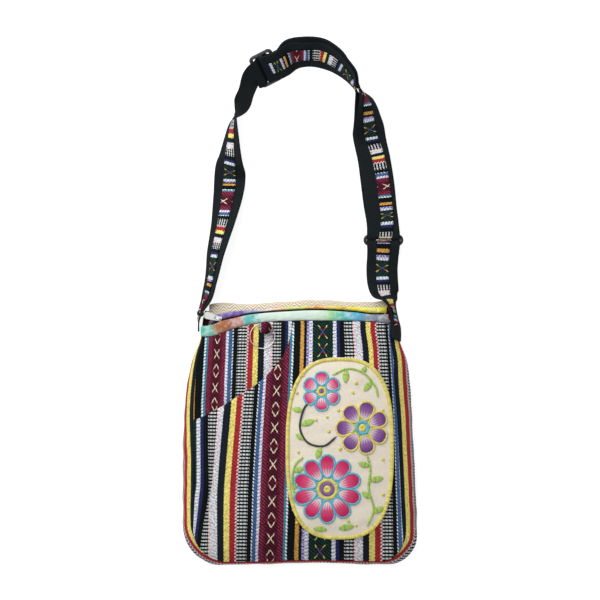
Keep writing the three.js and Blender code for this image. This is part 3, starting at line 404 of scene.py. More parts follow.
# Satin stitch: glossy embroidery thread laid side by side; threads are coarsened to 1.4 mm so that they show.
def satinThread(name, dark, light):
    material, add = newMaterial(name, Roughness=0.45, Sheen_Weight=0.1)
    place = add("SeparateXYZ", add("UVMap", uv_map="cloth")).node.outputs
    thread = add("Math PINGPONG", place["X"], 0.7)
    number = add("Math FLOOR", add("Math DIVIDE", place["X"], 1.4))
    dye = add("TexWhiteNoise", W=number, noise_dimensions="1D")
    mixed = add("Math MULTIPLY_ADD", dye, 0.6, thread)
    colour = add("ValToRGB", mixed, stops=[(0.1, dark), (0.9, light)])
    bump = add("Bump", Strength=0.6, Distance=0.0004, Height=thread)
    return dress(material, Base_Color=colour, Normal=bump)


# Hard finish: a moulded or plated surface of one colour with handling marks in its gloss.
def hardFinish(name, dark, light, roughness, spread, grain, **values):
    material, add = newMaterial(name, **values)
    place = add("TexCoord").node.outputs["Object"]
    marks = add("TexNoise", Vector=place, Scale=grain, Detail=5.0, Roughness=0.6)
    colour = add("ValToRGB", marks, stops=[(0.3, dark), (0.7, light)])
    gloss = add("MapRange", Value=marks, To_Min=roughness - spread, To_Max=roughness + spread)
    bump = add("Bump", Strength=0.1, Distance=0.0002, Height=marks)
    return dress(material, Base_Color=colour, Normal=bump, Roughness=gloss)


stripedCotton = wovenStripes("handWovenStripedCotton", 1.0)
buttonCotton = wovenStripes("darkStripedCotton", 0.62)
herringbone = creamHerringbone()
backDyes = [  # place along the strip in mm, colour
    (-110, "#5b3f9c"), (-68, "#7d66b4"), (-45, "#e2dcec"), (-26, "#f0c8a6"), (-18, "#d6dc78"), (2, "#d9dd6a"),
    (20, "#ee8f4c"), (38, "#f3dd45"), (54, "#d3ab44"), (66, "#f3e83a"), (110, "#f5ee2f"),
]
frontDyes = [
    (-114, "#55b3a5"), (-108, "#8f9679"), (-101, "#a4623c"), (-90, "#9a5f45"), (-84, "#b8766a"),
    (-75, "#bd8a82"), (-71, "#5fb0aa"), (-56, "#63b7b4"), (-48, "#cfe2d8"), (24, "#cfe3d5"), (37, "#a3d69a"),
    (50, "#58bfa0"), (70, "#50abcb"), (90, "#7f8aa0"), (112, "#847a8e"),
]
tieDyeBack = tieDyed("tieDyedCottonBack", backDyes)
tieDyeFront = tieDyed("tieDyedCottonFront", frontDyes)
zipCloth = plainTwill("blackNylonZipTape", "#050607", "#101214", 0.8, 0.8, 0.1)
zipNylon = hardFinish("blackNylonZipCoil", "#0a0b0c", "#161719", 0.45, 0.08, 300.0)
plating = hardFinish("nickelPlatedZinc", "#efefec", "#fdfdfa", 0.24, 0.08, 260.0, Metallic=0.3)
beadGlass = hardFinish("blackPressedGlass", "#030303", "#060607", 0.08, 0.03, 150.0, Specular_IOR_Level=0.6)
steelWire = hardFinish("brightSteelWire", "#c9c9c8", "#efefee", 0.3, 0.06, 300.0, Metallic=0.8)
creamTwill = plainTwill("creamTwillPatch", "#d9c9b0", "#f4ecdd", 1.5)
pinkPetal = petalCotton("pinkPetalCotton", "#f6dfe2", "#e0517f", "#c81f59", "#4a1a44")
purplePetal = petalCotton("purplePetalCotton", "#ead9ea", "#9a68a6", "#6d3f86", "#2d1640")
rosePetal = petalCotton("rosePetalCotton", "#fbeeee", "#e88ba8", "#d5356b", "#5a1f46")
turquoiseThread = satinThread("turquoiseSatinThread", "#2b93b3", "#62c6dc")
yellowThread = satinThread("yellowSatinThread", "#b9a83a", "#f0e277")
limeThread = satinThread("limeSatinThread", "#6f9a3c", "#b6d566")
darkThread = satinThread("darkSatinThread", "#14171a", "#2c3338")
purpleThread = satinThread("purpleSatinThread", "#54327a", "#9668b4")
strapCotton = plainTwill("blackCottonStrap", "#0a0d0f", "#1b2124", 0.9, 0.9, 0.12)
strapThread = plainTwill("blackSewingThread", "#07090a", "#14181a", 0.6, 0.8, 0.1)
mouldedNylon = hardFinish("mouldedGreyNylon", "#37393b", "#4b4d50", 0.42, 0.08, 220.0)
ringNylon = hardFinish("mouldedBlackNylon", "#0e0f10", "#1a1c1e", 0.5, 0.08, 220.0)
print("materials ready:", len(bpy.data.materials))

# Body of the bag: outermost edge on each side, and how far the front seam lies inside it.
body = dict(bottom=-336.3, rise=3, riseX=18, riseWidth=70, cornerLeft=48, cornerRight=36, frontInset=5,
            backInset=8, seam=0.6, rounding=2.4, bulge=0.42, wall=2.0, cloth=1.8, topLeft=-14, topRight=-8)
sides = columns("y left right seamLeft seamRight", [
    [8, -114, 113, 2, 2], [-22, -121.5, 118, 2, 3], [-50, -126, 125, 3, 10], [-75, -135, 134.5, 6, 16],
    [-105, -142, 138.5, 9, 19], [-140, -146, 140.8, 11, 18.5], [-205, -148, 144, 15, 18.5],
    [-270, -148, 147, 14, 18.5], [-340, -148, 147.8, 9, 14],
])
frontRows = columns("y height drop", [
    [-345, 20, 5], [-331, 26, 6], [-318, 34, 8], [-295, 38.5, 9], [-250, 41, 9], [-180, 41, 9],
    [-120, 39.5, 9], [-80, 36.5, 8], [-50, 31.5, 5], [-26, 28, 3], [-8, 27, 3],
])
folds = columns("x y heading width length depth", [
    [-107, -235, 93, 9, 70, 5], [-118, -120, 62, 10, 38, 3], [-70, -70, 20, 12, 45, 2.5],
    [70, -62, -12, 13, 42, 2], [-15, -318, 4, 9, 46, 3], [108, -300, 60, 9, 30, 2.5],
])
rim = columns("y left right", [
    [10, 11, 12], [-14, 13, 15], [-28, 17, 23], [-38, 20.5, 40], [-46, 22, 60], [-52, 25, 60],
    [-60, 42, 60], [-70, 60, 60],
])
mouth = columns("x fold back front low", [
    [-126, -9, -23, -33, -46.3], [-112, -5, -20, -31.5, -45.5], [-99, -3.6, -17.2, -26.5, -42],
    [-82, -4.5, -14.6, -22.5, -35.5], [-64, -5.5, -12.6, -18.5, -31], [-45, -4, -12, -16.5, -28],
    [-26, -2.6, -9.8, -15, -26.5], [21, 0, -7.5, -13, -26], [68, -2.8, -8.7, -15.5, -26.5],
    [92, -2.2, -9.6, -18.3, -27.5], [113, -1.5, -7.6, -17.8, -29.5],
])
leftEnd, bottomStart, bottomEnd, rightStart = 0.36, 0.45, 0.55, 0.64  # shares of the way round an outline


# U-shaped line: down the left side, round a corner of one radius, along the bottom, and up the right side.
def outline(left, right, bottom, radiusLeft, radiusRight, topLeft, topRight):
    middleLeft = left(bottom + radiusLeft) + radiusLeft
    middleRight = right(bottom + radiusRight) - radiusRight

    def rise(x):
        return body["rise"] * bell(x - body["riseX"], body["riseWidth"])

    def corner(middle, radius, angle):
        x, y = polar(middle, bottom + radius, radius, angle)
        return x, y + rise(x) * (1 - (y - bottom) / radius)

    def at(t):
        t = np.asarray(t, float)
        yLeft = between(topLeft, bottom + radiusLeft, t / leftEnd)
        yRight = between(bottom + radiusRight, topRight, (t - rightStart) / (1 - rightStart))
        turnLeft = np.clip((t - leftEnd) / (bottomStart - leftEnd), 0, 1)
        turnRight = np.clip((t - bottomEnd) / (rightStart - bottomEnd), 0, 1)
        cornerLeft = corner(middleLeft, radiusLeft, np.pi * (1 + 0.5 * turnLeft))
        cornerRight = corner(middleRight, radiusRight, np.pi * (1.5 + 0.5 * turnRight))
        flat = between(middleLeft, middleRight, (t - bottomStart) / (bottomEnd - bottomStart))
        where = [t < leftEnd, t < bottomStart, t < bottomEnd, t < rightStart]
        x = np.select(where, [left(yLeft), cornerLeft[0], flat, cornerRight[0]], right(yRight))
        y = np.select(where, [yLeft, cornerLeft[1], bottom + rise(flat), cornerRight[1]], yRight)
        return stacked(x, y)
    return at


# Left and right edge of the body at y, or the front's seam inside it.
def leftEdge(y, seam=True):
    return lookUp(sides, y, "left") + seam * lookUp(sides, y, "seamLeft")


def rightEdge(y, seam=True):
    return lookUp(sides, y, "right") - seam * lookUp(sides, y, "seamRight")


# One of the mouth's lines at x.
def mouthAt(x, line):
    return lookUp(mouth, x, line)


# Outline moved in by one distance from the outermost edge or from the front's seam.
def insetOutline(inset, topLeft, topRight, seam=False):
    inwards = seam * body["frontInset"] + inset
    return outline(
        lambda y: leftEdge(y, seam) + inset, lambda y: rightEdge(y, seam) - inset, body["bottom"] + inwards,
        body["cornerLeft"] - inwards, body["cornerRight"] - inwards, topLeft, topRight)


# Plan of a panel: the patch between its outline and its top line, sides + ends - the blend of four corners.
def panelPlan(side, topLine):
    corner, farCorner = (leftEnd + bottomStart) / 2, (bottomEnd + rightStart) / 2
    topLeft, topRight = side(0), side(1)

    def at(u, v):
        x = between(topLeft[0], topRight[0], u)
        top = stacked(x, topLine(x))
        bottom = side(between(corner, farCorner, u))
        left, right = side(corner * (1 - v)), side(between(farCorner, 1, v))
        u, v = u[..., None], v[..., None]
        corners = between(between(side(corner), side(farCorner), u), between(topLeft, topRight, u), v)
        return np.moveaxis(between(left, right, u) + between(bottom, top, v) - corners, -1, 0)
    return at


# Place from one side seam to the other, -1 to 1.
def sideShare(x, y):
    left, right = leftEdge(y), rightEdge(y)
    return (2 * x - left - right) / (right - left)


# Front: a crown that drops to the seams, less folds pressed in as two-way bell curves.
def frontHeight(x, y):
    turn = folds["heading"] * degree
    dx, dy = x[..., None] - folds["x"], y[..., None] - folds["y"]
    along = (dx * np.cos(turn) + dy * np.sin(turn)) / folds["length"]
    across = (dy * np.cos(turn) - dx * np.sin(turn)) / folds["width"]
    pressed = (folds["depth"] * np.exp(-along ** 2 - across ** 2)).sum(-1)
    drop = lookUp(frontRows, y, "drop") * np.abs(sideShare(x, y)) ** body["rounding"]
    return lookUp(frontRows, y, "height") - drop - pressed


# Pocket: the front's height plus a swell that dies out at the side seams, the bottom and the binding.
pocket = dict(lift=9.5, gap=0.8, edge=70, depth=260, roll=1.1, rollWidth=2.5, seed=23)
pocketMouth = columns("across filled", [
    [0, 0.612], [0.1, 0.649], [0.19, 0.676], [0.27, 0.712], [0.34, 0.754], [0.395, 0.803], [0.435, 0.848],
    [0.462, 0.892], [0.476, 0.94], [0.484, 1],
])


def pocketHeight(x, y):
    swell = np.maximum(1 - sideShare(x, y) ** 2, 0)
    swell = swell * easeBetween(y, body["bottom"], body["bottom"] + pocket["edge"])
    low = mouthAt(x, "low")
    swell = swell * easeBetween(-y, -low, pocket["edge"] - low)
    return frontHeight(x, y) + body["wall"] + pocket["gap"] + pocket["lift"] * swell


# Wear of the cloth: soft waves and small creases, none at the seams.
wear = [(42, 0.55), (17, 0.3), (7, 0.12)]  # wavelength, depth


def creases(x, y, seed):
    inner = np.clip(3 * (1 - np.abs(sideShare(x, y))), 0, 1)
    waves = (depth * ripple(x, y, length, seed + k) for k, (length, depth) in enumerate(wear))
    return inner * sum(waves)


# Place across the threads: guide lines of known stripe edges, and even stripes between them and beyond them.
def threadAcross(x, y, guides, edges):
    lines = [lookUp(guides, y, name) for name in list(guides)[1:]]
    way = np.sign(edges[1] - edges[0])
    total = edges[0] + way * np.minimum(x - lines[0], 0) + way * np.maximum(x - lines[-1], 0)
    for k in range(len(lines) - 1):
        share = np.clip((x - lines[k]) / (lines[k + 1] - lines[k]), 0, 1)
        total = total + share * (edges[k + 1] - edges[k])
    return total


pocketGuides = columns("y a b c d e f g h i j k", [
    [-38.4, -128, -111.6, -96.7, -87.4, -79.4, -38.4, 16.6, 42.6, 84.2, 109.3, 118.4],
    [-67.8, -129.3, -113.3, -98.8, -89.7, -81.9, -40.3, 16.3, 42.5, 88.2, 111.6, 121],
    [-154.9, -131.6, -116.8, -103.8, -98.5, -89.3, -46.2, 14.7, 42.2, 88.7, 115.8, 127.4],
    [-234.2, -131.6, -116.7, -111.5, -104.6, -96, -49.9, 12.8, 41.5, 88.7, 117.8, 130.6],
    [-254.7, -134, -117.3, -116.2, -105.4, -96.9, -50.5, 12.4, 41.3, 88.7, 118.3, 131.7],
    [-279, -135.7, -121.8, -116, -105.4, -97.2, -51.2, 11.9, 41.1, 88.7, 118.8, 133.1],
    [-320, -140.8, -127.5, -115.6, -105.4, -97.3, -53.2, 10.9, 40.7, 88.6, 119.6, 134.9],
])
pocketEdges = np.append(stripeEdge[[0, 3, 5, 6, 7, 15, 23, 24]], repeat + stripeEdge[[7, 11, 15]])
frontGuides = columns("y a b c d e f g", [
    [-38.4, -129.9, -115.8, -94.7, -79.4, -53.1, -34.6, -10.9],
    [-128, -135, -121.1, -97.7, -82.8, -55.7, -35.8, -12.8],
])
frontEdges = stripeEdge[[19, 16, 15, 11, 7, 4, 0]]
frontFigure = dict(cross=-112.2, pitch=21.6)  # y of a maroon cross, and its pitch as it lies
pocketFigure = dict(cross=-163.3, pitch=23.6)
eyeHeight = 2200  # the guide lines are read on the floor from this height


# Place on the threads of a panel: across from the guide lines, along from a cross at the weave's own pitch.
def panelCloth(points, guides, edges, figure):
    seen = 1 + points[..., 2] / eyeHeight
    x, y = points[..., 0] * seen, points[..., 1] * seen
    along = (y - figure["cross"]) * maroon["pitch"] / figure["pitch"]
    return stacked(threadAcross(x, y, guides, edges), along)


# Top line of the front and the pocket, just below the binding.
def frontTop(x):
    return mouthAt(x, "low") - body["seam"]


front = dict(left=-126, right=118, wear=0.8, seed=11)  # left and right: about where its top corners lie
panelEdge = insetOutline(
    body["seam"], frontTop(leftEdge(frontTop(front["left"])) + body["seam"]),
    frontTop(rightEdge(frontTop(front["right"])) - body["seam"]), seam=True)
frontPlan = panelPlan(panelEdge, frontTop)
x, y = frontPlan(*unitGrid(90, 100))
points = stacked(x, y, frontHeight(x, y) + creases(x, y, front["seed"]) * front["wear"])
makePiece("frontPanel", points, stripedCotton, "striped_cotton", ["front_panel"],
          cloth=panelCloth(points, frontGuides, frontEdges, frontFigure), thickness=body["cloth"])

# Pocket with its mouth edge rolled down a little. A slack fold down its left side hides part of the checks: a
# soft ridge beside a narrow valley.
slack = dict(y=-235, reach=52, aside=5, ridge=1.1, ridgeWidth=3.6, valley=0.9, valleyWidth=1.8)
slackLine = columns("y x", [[-300, -119], [-254.7, -116.8], [-234.2, -113], [-154.9, -106]])
u, v = unitGrid(150, 160)
filled = lookUp(pocketMouth, u, "filled")
x, y = frontPlan(u, v * filled)
roll = pocket["roll"] * np.exp(-((1 - v) * pocket["depth"] / pocket["rollWidth"])) * (filled < 0.999)
off = x - np.interp(y, slackLine["y"], slackLine["x"])
fold = slack["ridge"] * bell(off + slack["aside"], slack["ridgeWidth"])
fold = fold - slack["valley"] * bell(off, slack["valleyWidth"])
fading = bell(y - slack["y"], slack["reach"], 4)
points = stacked(x, y, pocketHeight(x, y) + creases(x, y, pocket["seed"]) - roll + fold * fading)
makePiece("pocketPanel", points, stripedCotton, "striped_cotton", ["pocket_panel"],
          cloth=panelCloth(points, pocketGuides, pocketEdges, pocketFigure), thickness=body["cloth"])

# Back panel, flat on the surface.
back = dict(left=-114, right=113, drop=5.2, height=1.1, wave=0.15, wavelength=30, thread=150)


# Top line of the back, below the facing's fold.
def backTop(x):
    return mouthAt(x, "fold") - back["drop"]


backEdge = insetOutline(body["backInset"] + body["seam"], backTop(back["left"]), backTop(back["right"]))
x, y = panelPlan(backEdge, backTop)(*unitGrid(60, 60))
points = stacked(x, y, back["height"] + back["wave"] * ripple(x, y, back["wavelength"], 5))
makePiece("backPanel", points, stripedCotton, "striped_cotton", ["back_panel"],
          cloth=stacked(x + back["thread"], y), thickness=body["cloth"])

# Gusset: a curve through the front seam, the outermost edge and the back seam, carried round the outline.
gusset = dict(above=1, low=1.6, width=40, puff=0.8, deepest=-0.6, thread=38, shift=14, bottomReach=0.13)
gussetTops = body["topLeft"], body["topRight"]
t, s = np.linspace(0, 1, 300)[:, None], np.linspace(0, 1, 30)
seamLine = insetOutline(0, *gussetTops, seam=True)(t)
low = np.where(t < 0.5, lookUp(rim, seamLine[..., 1], "left"), lookUp(rim, seamLine[..., 1], "right"))
top = np.minimum(frontHeight(seamLine[..., 0], seamLine[..., 1]) + gusset["above"], low)
edgeLine = insetOutline(0, *gussetTops)(t)
backLine = insetOutline(body["backInset"], *gussetTops)(t)
lines = [(seamLine, top), (edgeLine, top * body["bulge"]), (backLine, np.full_like(top, gusset["low"]))]
weights = [(2 * s - 1) * (s - 1), 4 * s * (1 - s), s * (2 * s - 1)]
points = sum(np.concatenate([line, z[..., None]], -1) * w[:, None] for (line, z), w in zip(lines, weights))
around, over = lengthAlong(points[:, :1], 0), gusset["width"] * s
puff = np.sin(np.pi * s) ** 0.7 * (0.7 * ripple(around, over, 36, 31) + 0.3 * ripple(around, over, 14, 32))
outwards = unit(np.cross(np.gradient(points, axis=0), np.gradient(points, axis=1)))
points = points - outwards * (np.maximum(puff, gusset["deepest"]) * gusset["puff"])[..., None]
firstThread = gusset["thread"] + gusset["shift"] * bell(t - 0.5, gusset["bottomReach"], 6)
makePiece("gussetCloth", points, stripedCotton, "striped_cotton", ["gusset"],
          cloth=stacked(firstThread + lengthAlong(points, 1), around), thickness=body["cloth"])
print("body built")

# Mouth: rear facing of herringbone, two tie-dyed bindings and the zip between them.
facing = dict(ends=(-115.5, 111), wave=0.5, waveUp=0.35, stepWidth=9)
facingRows = columns("step inset reach height", [
    [0, 3.6, 0, 1.6], [1, 1.3, 0, 3.2], [2, 0.9, 0, 6.6], [3, 3.2, 0, 10], [4, 0.9, 1, 12.1],
])
x = np.linspace(*facing["ends"], 180)[:, None]
step = np.linspace(0, 4, 22)
over = facing["stepWidth"] * step
line = between(mouthAt(x, "fold"), mouthAt(x, "back"), lookUp(facingRows, step, "reach"))
y = line - lookUp(facingRows, step, "inset") + facing["wave"] * ripple(x, over, 22, 41)
z = lookUp(facingRows, step, "height") + facing["waveUp"] * ripple(x, over, 15, 42)
points = stacked(x, y, z)
makePiece("topFacing", points, herringbone, "cream_herringbone", ["top_facing"],
          cloth=stacked(x, lengthAlong(points, 1)), thickness=body["cloth"])

# Binding: a soft oval section between two lines of the mouth, drawn in at both ends, puckered by its seam and
# grooved where strips of dyed cloth are joined.
trim = dict(drawnIn=80, squareness=0.75, pucker=0.4, wave=0.25, groove=1.1, slit=1.5, backHeight=15.2,
            backCrown=3.2, frontLift=1, frontCrown=3)


def binding(name, ends, lowLine, highLine, base, half, material, node, seed, joins):
    share = np.linspace(0, 1, 240)
    x = between(*ends, share)[:, None]
    angle = ringAngles(28)
    closing = np.clip(np.minimum(share, 1 - share) * trim["drawnIn"], 0.25, 1)[:, None] ** 0.5
    s = 0.5 + 0.5 * np.cos(angle) * (0.9 + 0.1 * closing)
    y = between(lowLine(x), highLine(x), s)
    pucker = trim["pucker"] * ripple(x, 2.2 * y, 9, seed) + trim["wave"] * ripple(x, y, 24, seed + 1)
    upper = np.sign(np.sin(angle)) * np.abs(np.sin(angle)) ** trim["squareness"]
    groove = trim["groove"] * bell(x - np.array(joins)).sum(1, keepdims=True)
    z = base(x, s) + closing * half * upper + np.maximum(np.sin(angle), 0) * (pucker - groove)
    makePiece(name, stacked(x, y, z), material, "tie_dyed_cotton", [node], **cappedTube)


# Heights of the bindings' middles across them, each a low arch, and the edge of the slit between them.
def backBase(x, s):
    return trim["backHeight"] + trim["backCrown"] * s * (1 - s)


def frontBase(x, s):
    return frontHeight(x, mouthAt(x, "low")) + trim["frontLift"] + trim["frontCrown"] * s * (0.7 - s)


def slitEdge(x):
    return mouthAt(x, "front") + trim["slit"]


binding("bindingBack", (-114, 110), slitEdge, lambda x: mouthAt(x, "back"),
        backBase, 1.5, tieDyeBack, "binding_back", 51, [98])
binding("bindingFront", (-125.5, 111.5), lambda x: mouthAt(x, "low"), lambda x: mouthAt(x, "front"),
        frontBase, 2.0, tieDyeFront, "binding_front", 61, [-113, 99])

# Zip tape: a flat strip between two offsets, with a row of small nylon teeth along its free edge.
zipSize = dict(ends=(-108, 104), width=10, height=12.8, below=3.2, tape=1.0, wave=0.12)
tooth = dict(ends=(-106, 102), count=105, lift=0.9, half=1.3, arch=0.25, width=0.65, height=0.55)


def zipTape(name, place, node, toothShare, seed):
    x, s = np.linspace(*zipSize["ends"], 120)[:, None], np.linspace(0, 1, 9)
    y, z = place(x, s)
    points = stacked(x, y, z + zipSize["wave"] * ripple(x, y, 12, seed))
    makePiece(name, points, zipCloth, "zip_tape", [node], thickness=zipSize["tape"])
    x = np.linspace(*tooth["ends"], tooth["count"])
    y, z = place(x, toothShare)
    bend = np.array([[0, -tooth["half"], 0], [0, 0, tooth["arch"]], [0, tooth["half"], 0]])
    middle = stacked(x, y, z + tooth["lift"])[:, None] + bend
    across, up = np.array([1.0, 0, 0]), np.array([0, 0, 1.0])
    points = ovalTube(middle, across, up, tooth["width"], tooth["height"], 6)
    makePiece(name + "Teeth", points, zipNylon, "zip_tape", **cappedTube)


# Places of the two tapes, level behind the slit and sunk below the front binding.
def backTape(x, s):
    return slitEdge(x) + zipSize["width"] * (0.1 - s), zipSize["height"]


def frontTape(x, s):
    s = 0.25 + 0.65 * s
    return between(mouthAt(x, "low"), mouthAt(x, "front"), s), frontBase(x, s) - zipSize["below"]


zipTape("zipTapeBack", backTape, "zip_tape_back", 0.9, 71)
zipTape("zipTapeFront", frontTape, "zip_tape_front", 0.95, 72)
print("mouth built")

# Applique of generic flowers on a cream patch: petals, satin outlines, winding vines, leaves and knots.
patch = dict(x=50, y=-186, halfWidth=68, halfHeight=114, squareness=2.8, lift=2.1, half=0.45, flowers=1.3,
             border=5.0, ridge=4.4, ridgeHeight=1.3)


# Heights of the patch and of the flowers on it: the pocket's height and wear plus a lift each.
def groundHeight(x, y):
    return pocketHeight(x, y) + creases(x, y, pocket["seed"]) + patch["lift"]


def flowerHeight(x, y):
    return groundHeight(x, y) + patch["flowers"]


# Patch: a superellipse filled by rings, radius = (|cos/a|^p + |sin/b|^p)^(-1/p).
def patchRadius(angle):
    power = patch["squareness"]
    total = np.abs(np.cos(angle) / patch["halfWidth"]) ** power
    total = total + np.abs(np.sin(angle) / patch["halfHeight"]) ** power
    return total ** (-1 / power)


angle = ringAngles(200)
radius = patchRadius(angle)
x, y = polar(patch["x"], patch["y"], np.linspace(0.01, 1, 50)[:, None] * radius, angle)
points, half = stacked(x, y, groundHeight(x, y)), np.array([0, 0, patch["half"]])
makePiece("appliqueGround", np.concatenate([points + half, points[::-1] - half]), creamTwill, "cream_twill",
          ["applique_ground"], **cappedTube)

# Satin ridge: a low oval carried along lines that lie on the flowers' height, with its length as cloth place.
satin = dict(lift=0.15, corners=10, taper=3, tip=0.3)


def satinRidge(name, lines, width, ridge, material, closed=True):
    x, y = lines[..., 0], lines[..., 1]
    middle = stacked(x, y, flowerHeight(x, y) + satin["lift"])
    taper = 1.0
    if closed:
        along = unit(np.roll(middle, -1, -2) - np.roll(middle, 1, -2))
    else:
        along = unit(np.gradient(middle, axis=-2))
        order = np.arange(middle.shape[-2])
        taper = np.clip(np.minimum(order, order[::-1]) / satin["taper"], satin["tip"], 1)
    across = unit(np.cross([0.0, 0, 1], along))
    up = np.cross(along, across)
    points = ovalTube(middle, across, up, taper * width / 2, taper * ridge, satin["corners"])
    run = lengthAlong(middle, middle.ndim - 2)[..., None]
    cloth = stacked(run, np.linspace(0, 1, satin["corners"]))
    makePiece(name, points, material, "petal_cloth", cloth=cloth, **(closedTube if closed else cappedTube))


inset = 1 - patch["border"] / 2 / radius
border = stacked(*polar(patch["x"], patch["y"], inset * radius, angle))
satinRidge("appliqueBorder", border, patch["ridge"], patch["ridgeHeight"], yellowThread)

# Petals: eggs set round a middle from the inner to the outer radius, across = half width * sqrt(1 - t^2).
bloom = dict(fit=0.97, egg=0.28, puff=0.9, cloth=0.8, ridge=1.1)


def petals(name, x, y, inner, outer, count, material, node, outlineThread, width, plump=1.0):
    turn = ((2 * np.arange(count) + 1) * np.pi / count)[:, None, None]
    middle, half = (inner + outer) / 2, (outer - inner) / 2
    wide = plump * middle * np.tan(np.pi / count) * bloom["fit"]

    def place(t, s):
        out = middle + half * t
        side = wide * s * np.sqrt(np.maximum(1 - t * t, 0)) * (1 + bloom["egg"] * t)
        return x + out * np.cos(turn) - side * np.sin(turn), y + out * np.sin(turn) + side * np.cos(turn)

    t, s = np.linspace(-0.985, 0.985, 21)[:, None], np.linspace(-1, 1, 13)
    px, py = place(t, s)
    puffed = flowerHeight(px, py) + bloom["puff"] * (1 - s * s) * (1 - t * t)
    makePiece(name, stacked(px, py, puffed), material, "petal_cloth", [node],
              cloth=stacked(s + 0 * px, (t + 1) / 2), thickness=bloom["cloth"])
    phi = ringAngles(48)
    lines = stacked(*place(np.cos(phi), np.sign(np.sin(phi))))[:, 0]
    satinRidge(name + "Outline", lines, width, bloom["ridge"], outlineThread)


petals("flowerLarge", 34, -236, 14, 42.5, 10, pinkPetal, "applique_flower_large", turquoiseThread, 2.6)
petals("flowerMiddle", 78, -160, 10, 33, 7, purplePetal, "applique_flower_middle", yellowThread, 2.6, 0.92)
petals("flowerSmall", 27, -114, 7, 24, 6, rosePetal, "applique_flower_small", turquoiseThread, 2.4, 0.88)
rings = [  # x and y of a flower's middle, then radius, width and thread of each ring of satin stitch there
    ("largeHeart", 34, -236, ((11.5, 4.2, yellowThread), (7, 3.6, purpleThread), (2.4, 4.6, yellowThread))),
    ("middleHeart", 78, -160, ((7.6, 4.0, turquoiseThread), (2.4, 4.6, yellowThread))),
    ("smallHeart", 27, -114, ((4.6, 3.6, yellowThread), (1.4, 2.6, purpleThread))),
]
for name, x, y, circles in rings:
    for k, (radius, width, thread) in enumerate(circles):
        satinRidge(name + str(k), stacked(*polar(x, y, radius, ringAngles(64))), width, 1.2, thread)

# Vines: winding lines through a few points, by the same cubic pieces as the tables.
vines = [
    (limeThread, [(84, -284), (92, -262), (86, -236), (88, -212), (84, -194)]),
    (darkThread, [(46, -170), (30, -182), (10, -178), (0, -160), (4, -138), (12, -126)]),
    (limeThread, [(40, -94), (60, -86), (80, -92), (94, -108), (98, -122)]),
    (limeThread, [(-6, -246), (-10, -226), (-6, -206), (4, -196)]),
]
for k, (thread, rows) in enumerate(vines):
    table = columns("step x y", [(step, *row) for step, row in enumerate(rows)])
    step = np.linspace(0, len(rows) - 1, 70)
    line = stacked(lookUp(table, step, "x"), lookUp(table, step, "y"))
    satinRidge("vine" + str(k), line, 2.6, 1.0, thread, closed=False)

# Leaves: pointed ovals in satin stitch, half width * sin(pi t)^0.8 to either side of a middle line.
leaf = columns("x y heading length width", [
    [90, -266, 20, 17, 8], [90, -248, 150, 15, 7], [87, -226, 10, 18, 8], [87, -208, 165, 15, 7],
    [26, -183, 250, 16, 7.5], [6, -174, 150, 13, 7], [1, -156, 20, 18, 8], [4, -138, 170, 14, 7],
    [58, -87, 265, 17, 8], [78, -91, 60, 9, 6], [90, -102, 230, 16, 7.5], [-8, -236, 60, 10, 5.5],
    [-8, -214, 20, 14, 6.5], [48, -286, 10, 20, 8], [34, -287, 175, 18, 7],
], spare=2)
leafShape = dict(point=0.8, puff=0.5, threads=16)
t, s = np.linspace(0.03, 0.97, 15)[:, None], np.linspace(-1, 1, 9)
cos, sin = np.cos(leaf["heading"] * degree), np.sin(leaf["heading"] * degree)
out = leaf["length"] * t
side = leaf["width"] / 2 * s * np.sin(np.pi * t) ** leafShape["point"]
x, y = leaf["x"] + out * cos - side * sin, leaf["y"] + out * sin + side * cos
points = stacked(x, y, flowerHeight(x, y) + leafShape["puff"] * (1 - s * s) * np.sin(np.pi * t))
makePiece("leaves", points, limeThread, "petal_cloth",
          cloth=stacked(t * leafShape["threads"] + 0 * x, s), thickness=bloom["cloth"])

# Knots: small round stitches scattered between the flowers.
knot = columns("x y radius", [
    [60, -276, 2.4], [70, -282, 1.9], [104, -244, 2.2], [104, -200, 2.2], [-2, -190, 1.9],
    [50, -186, 2.4], [36, -164, 2.2], [20, -150, 2.0], [34, -146, 1.8], [48, -138, 2.0], [-4, -116, 2.2],
    [4, -94, 2.0], [70, -104, 2.2], [66, -116, 2.0], [104, -138, 1.8],
    [106, -176, 2.0], [84, -290, 1.8], [-8, -262, 2.0], [-4, -278, 1.8],
], spare=2)
knotShape = dict(sunk=0.6, height=0.9, threads=3)
tip = np.linspace(0.06, 1, 7)[:, None] * np.pi / 2
x, y = polar(knot["x"], knot["y"], knot["radius"] * np.sin(tip), ringAngles(12))
base = flowerHeight(knot["x"], knot["y"]) - knotShape["sunk"]
points = stacked(x, y, base + knotShape["height"] * knot["radius"] * np.cos(tip))
makePiece("knots", points, yellowThread, "petal_cloth",
          cloth=stacked(knotShape["threads"] * tip + 0 * x, 0.0), **cappedTube)
print("applique built")

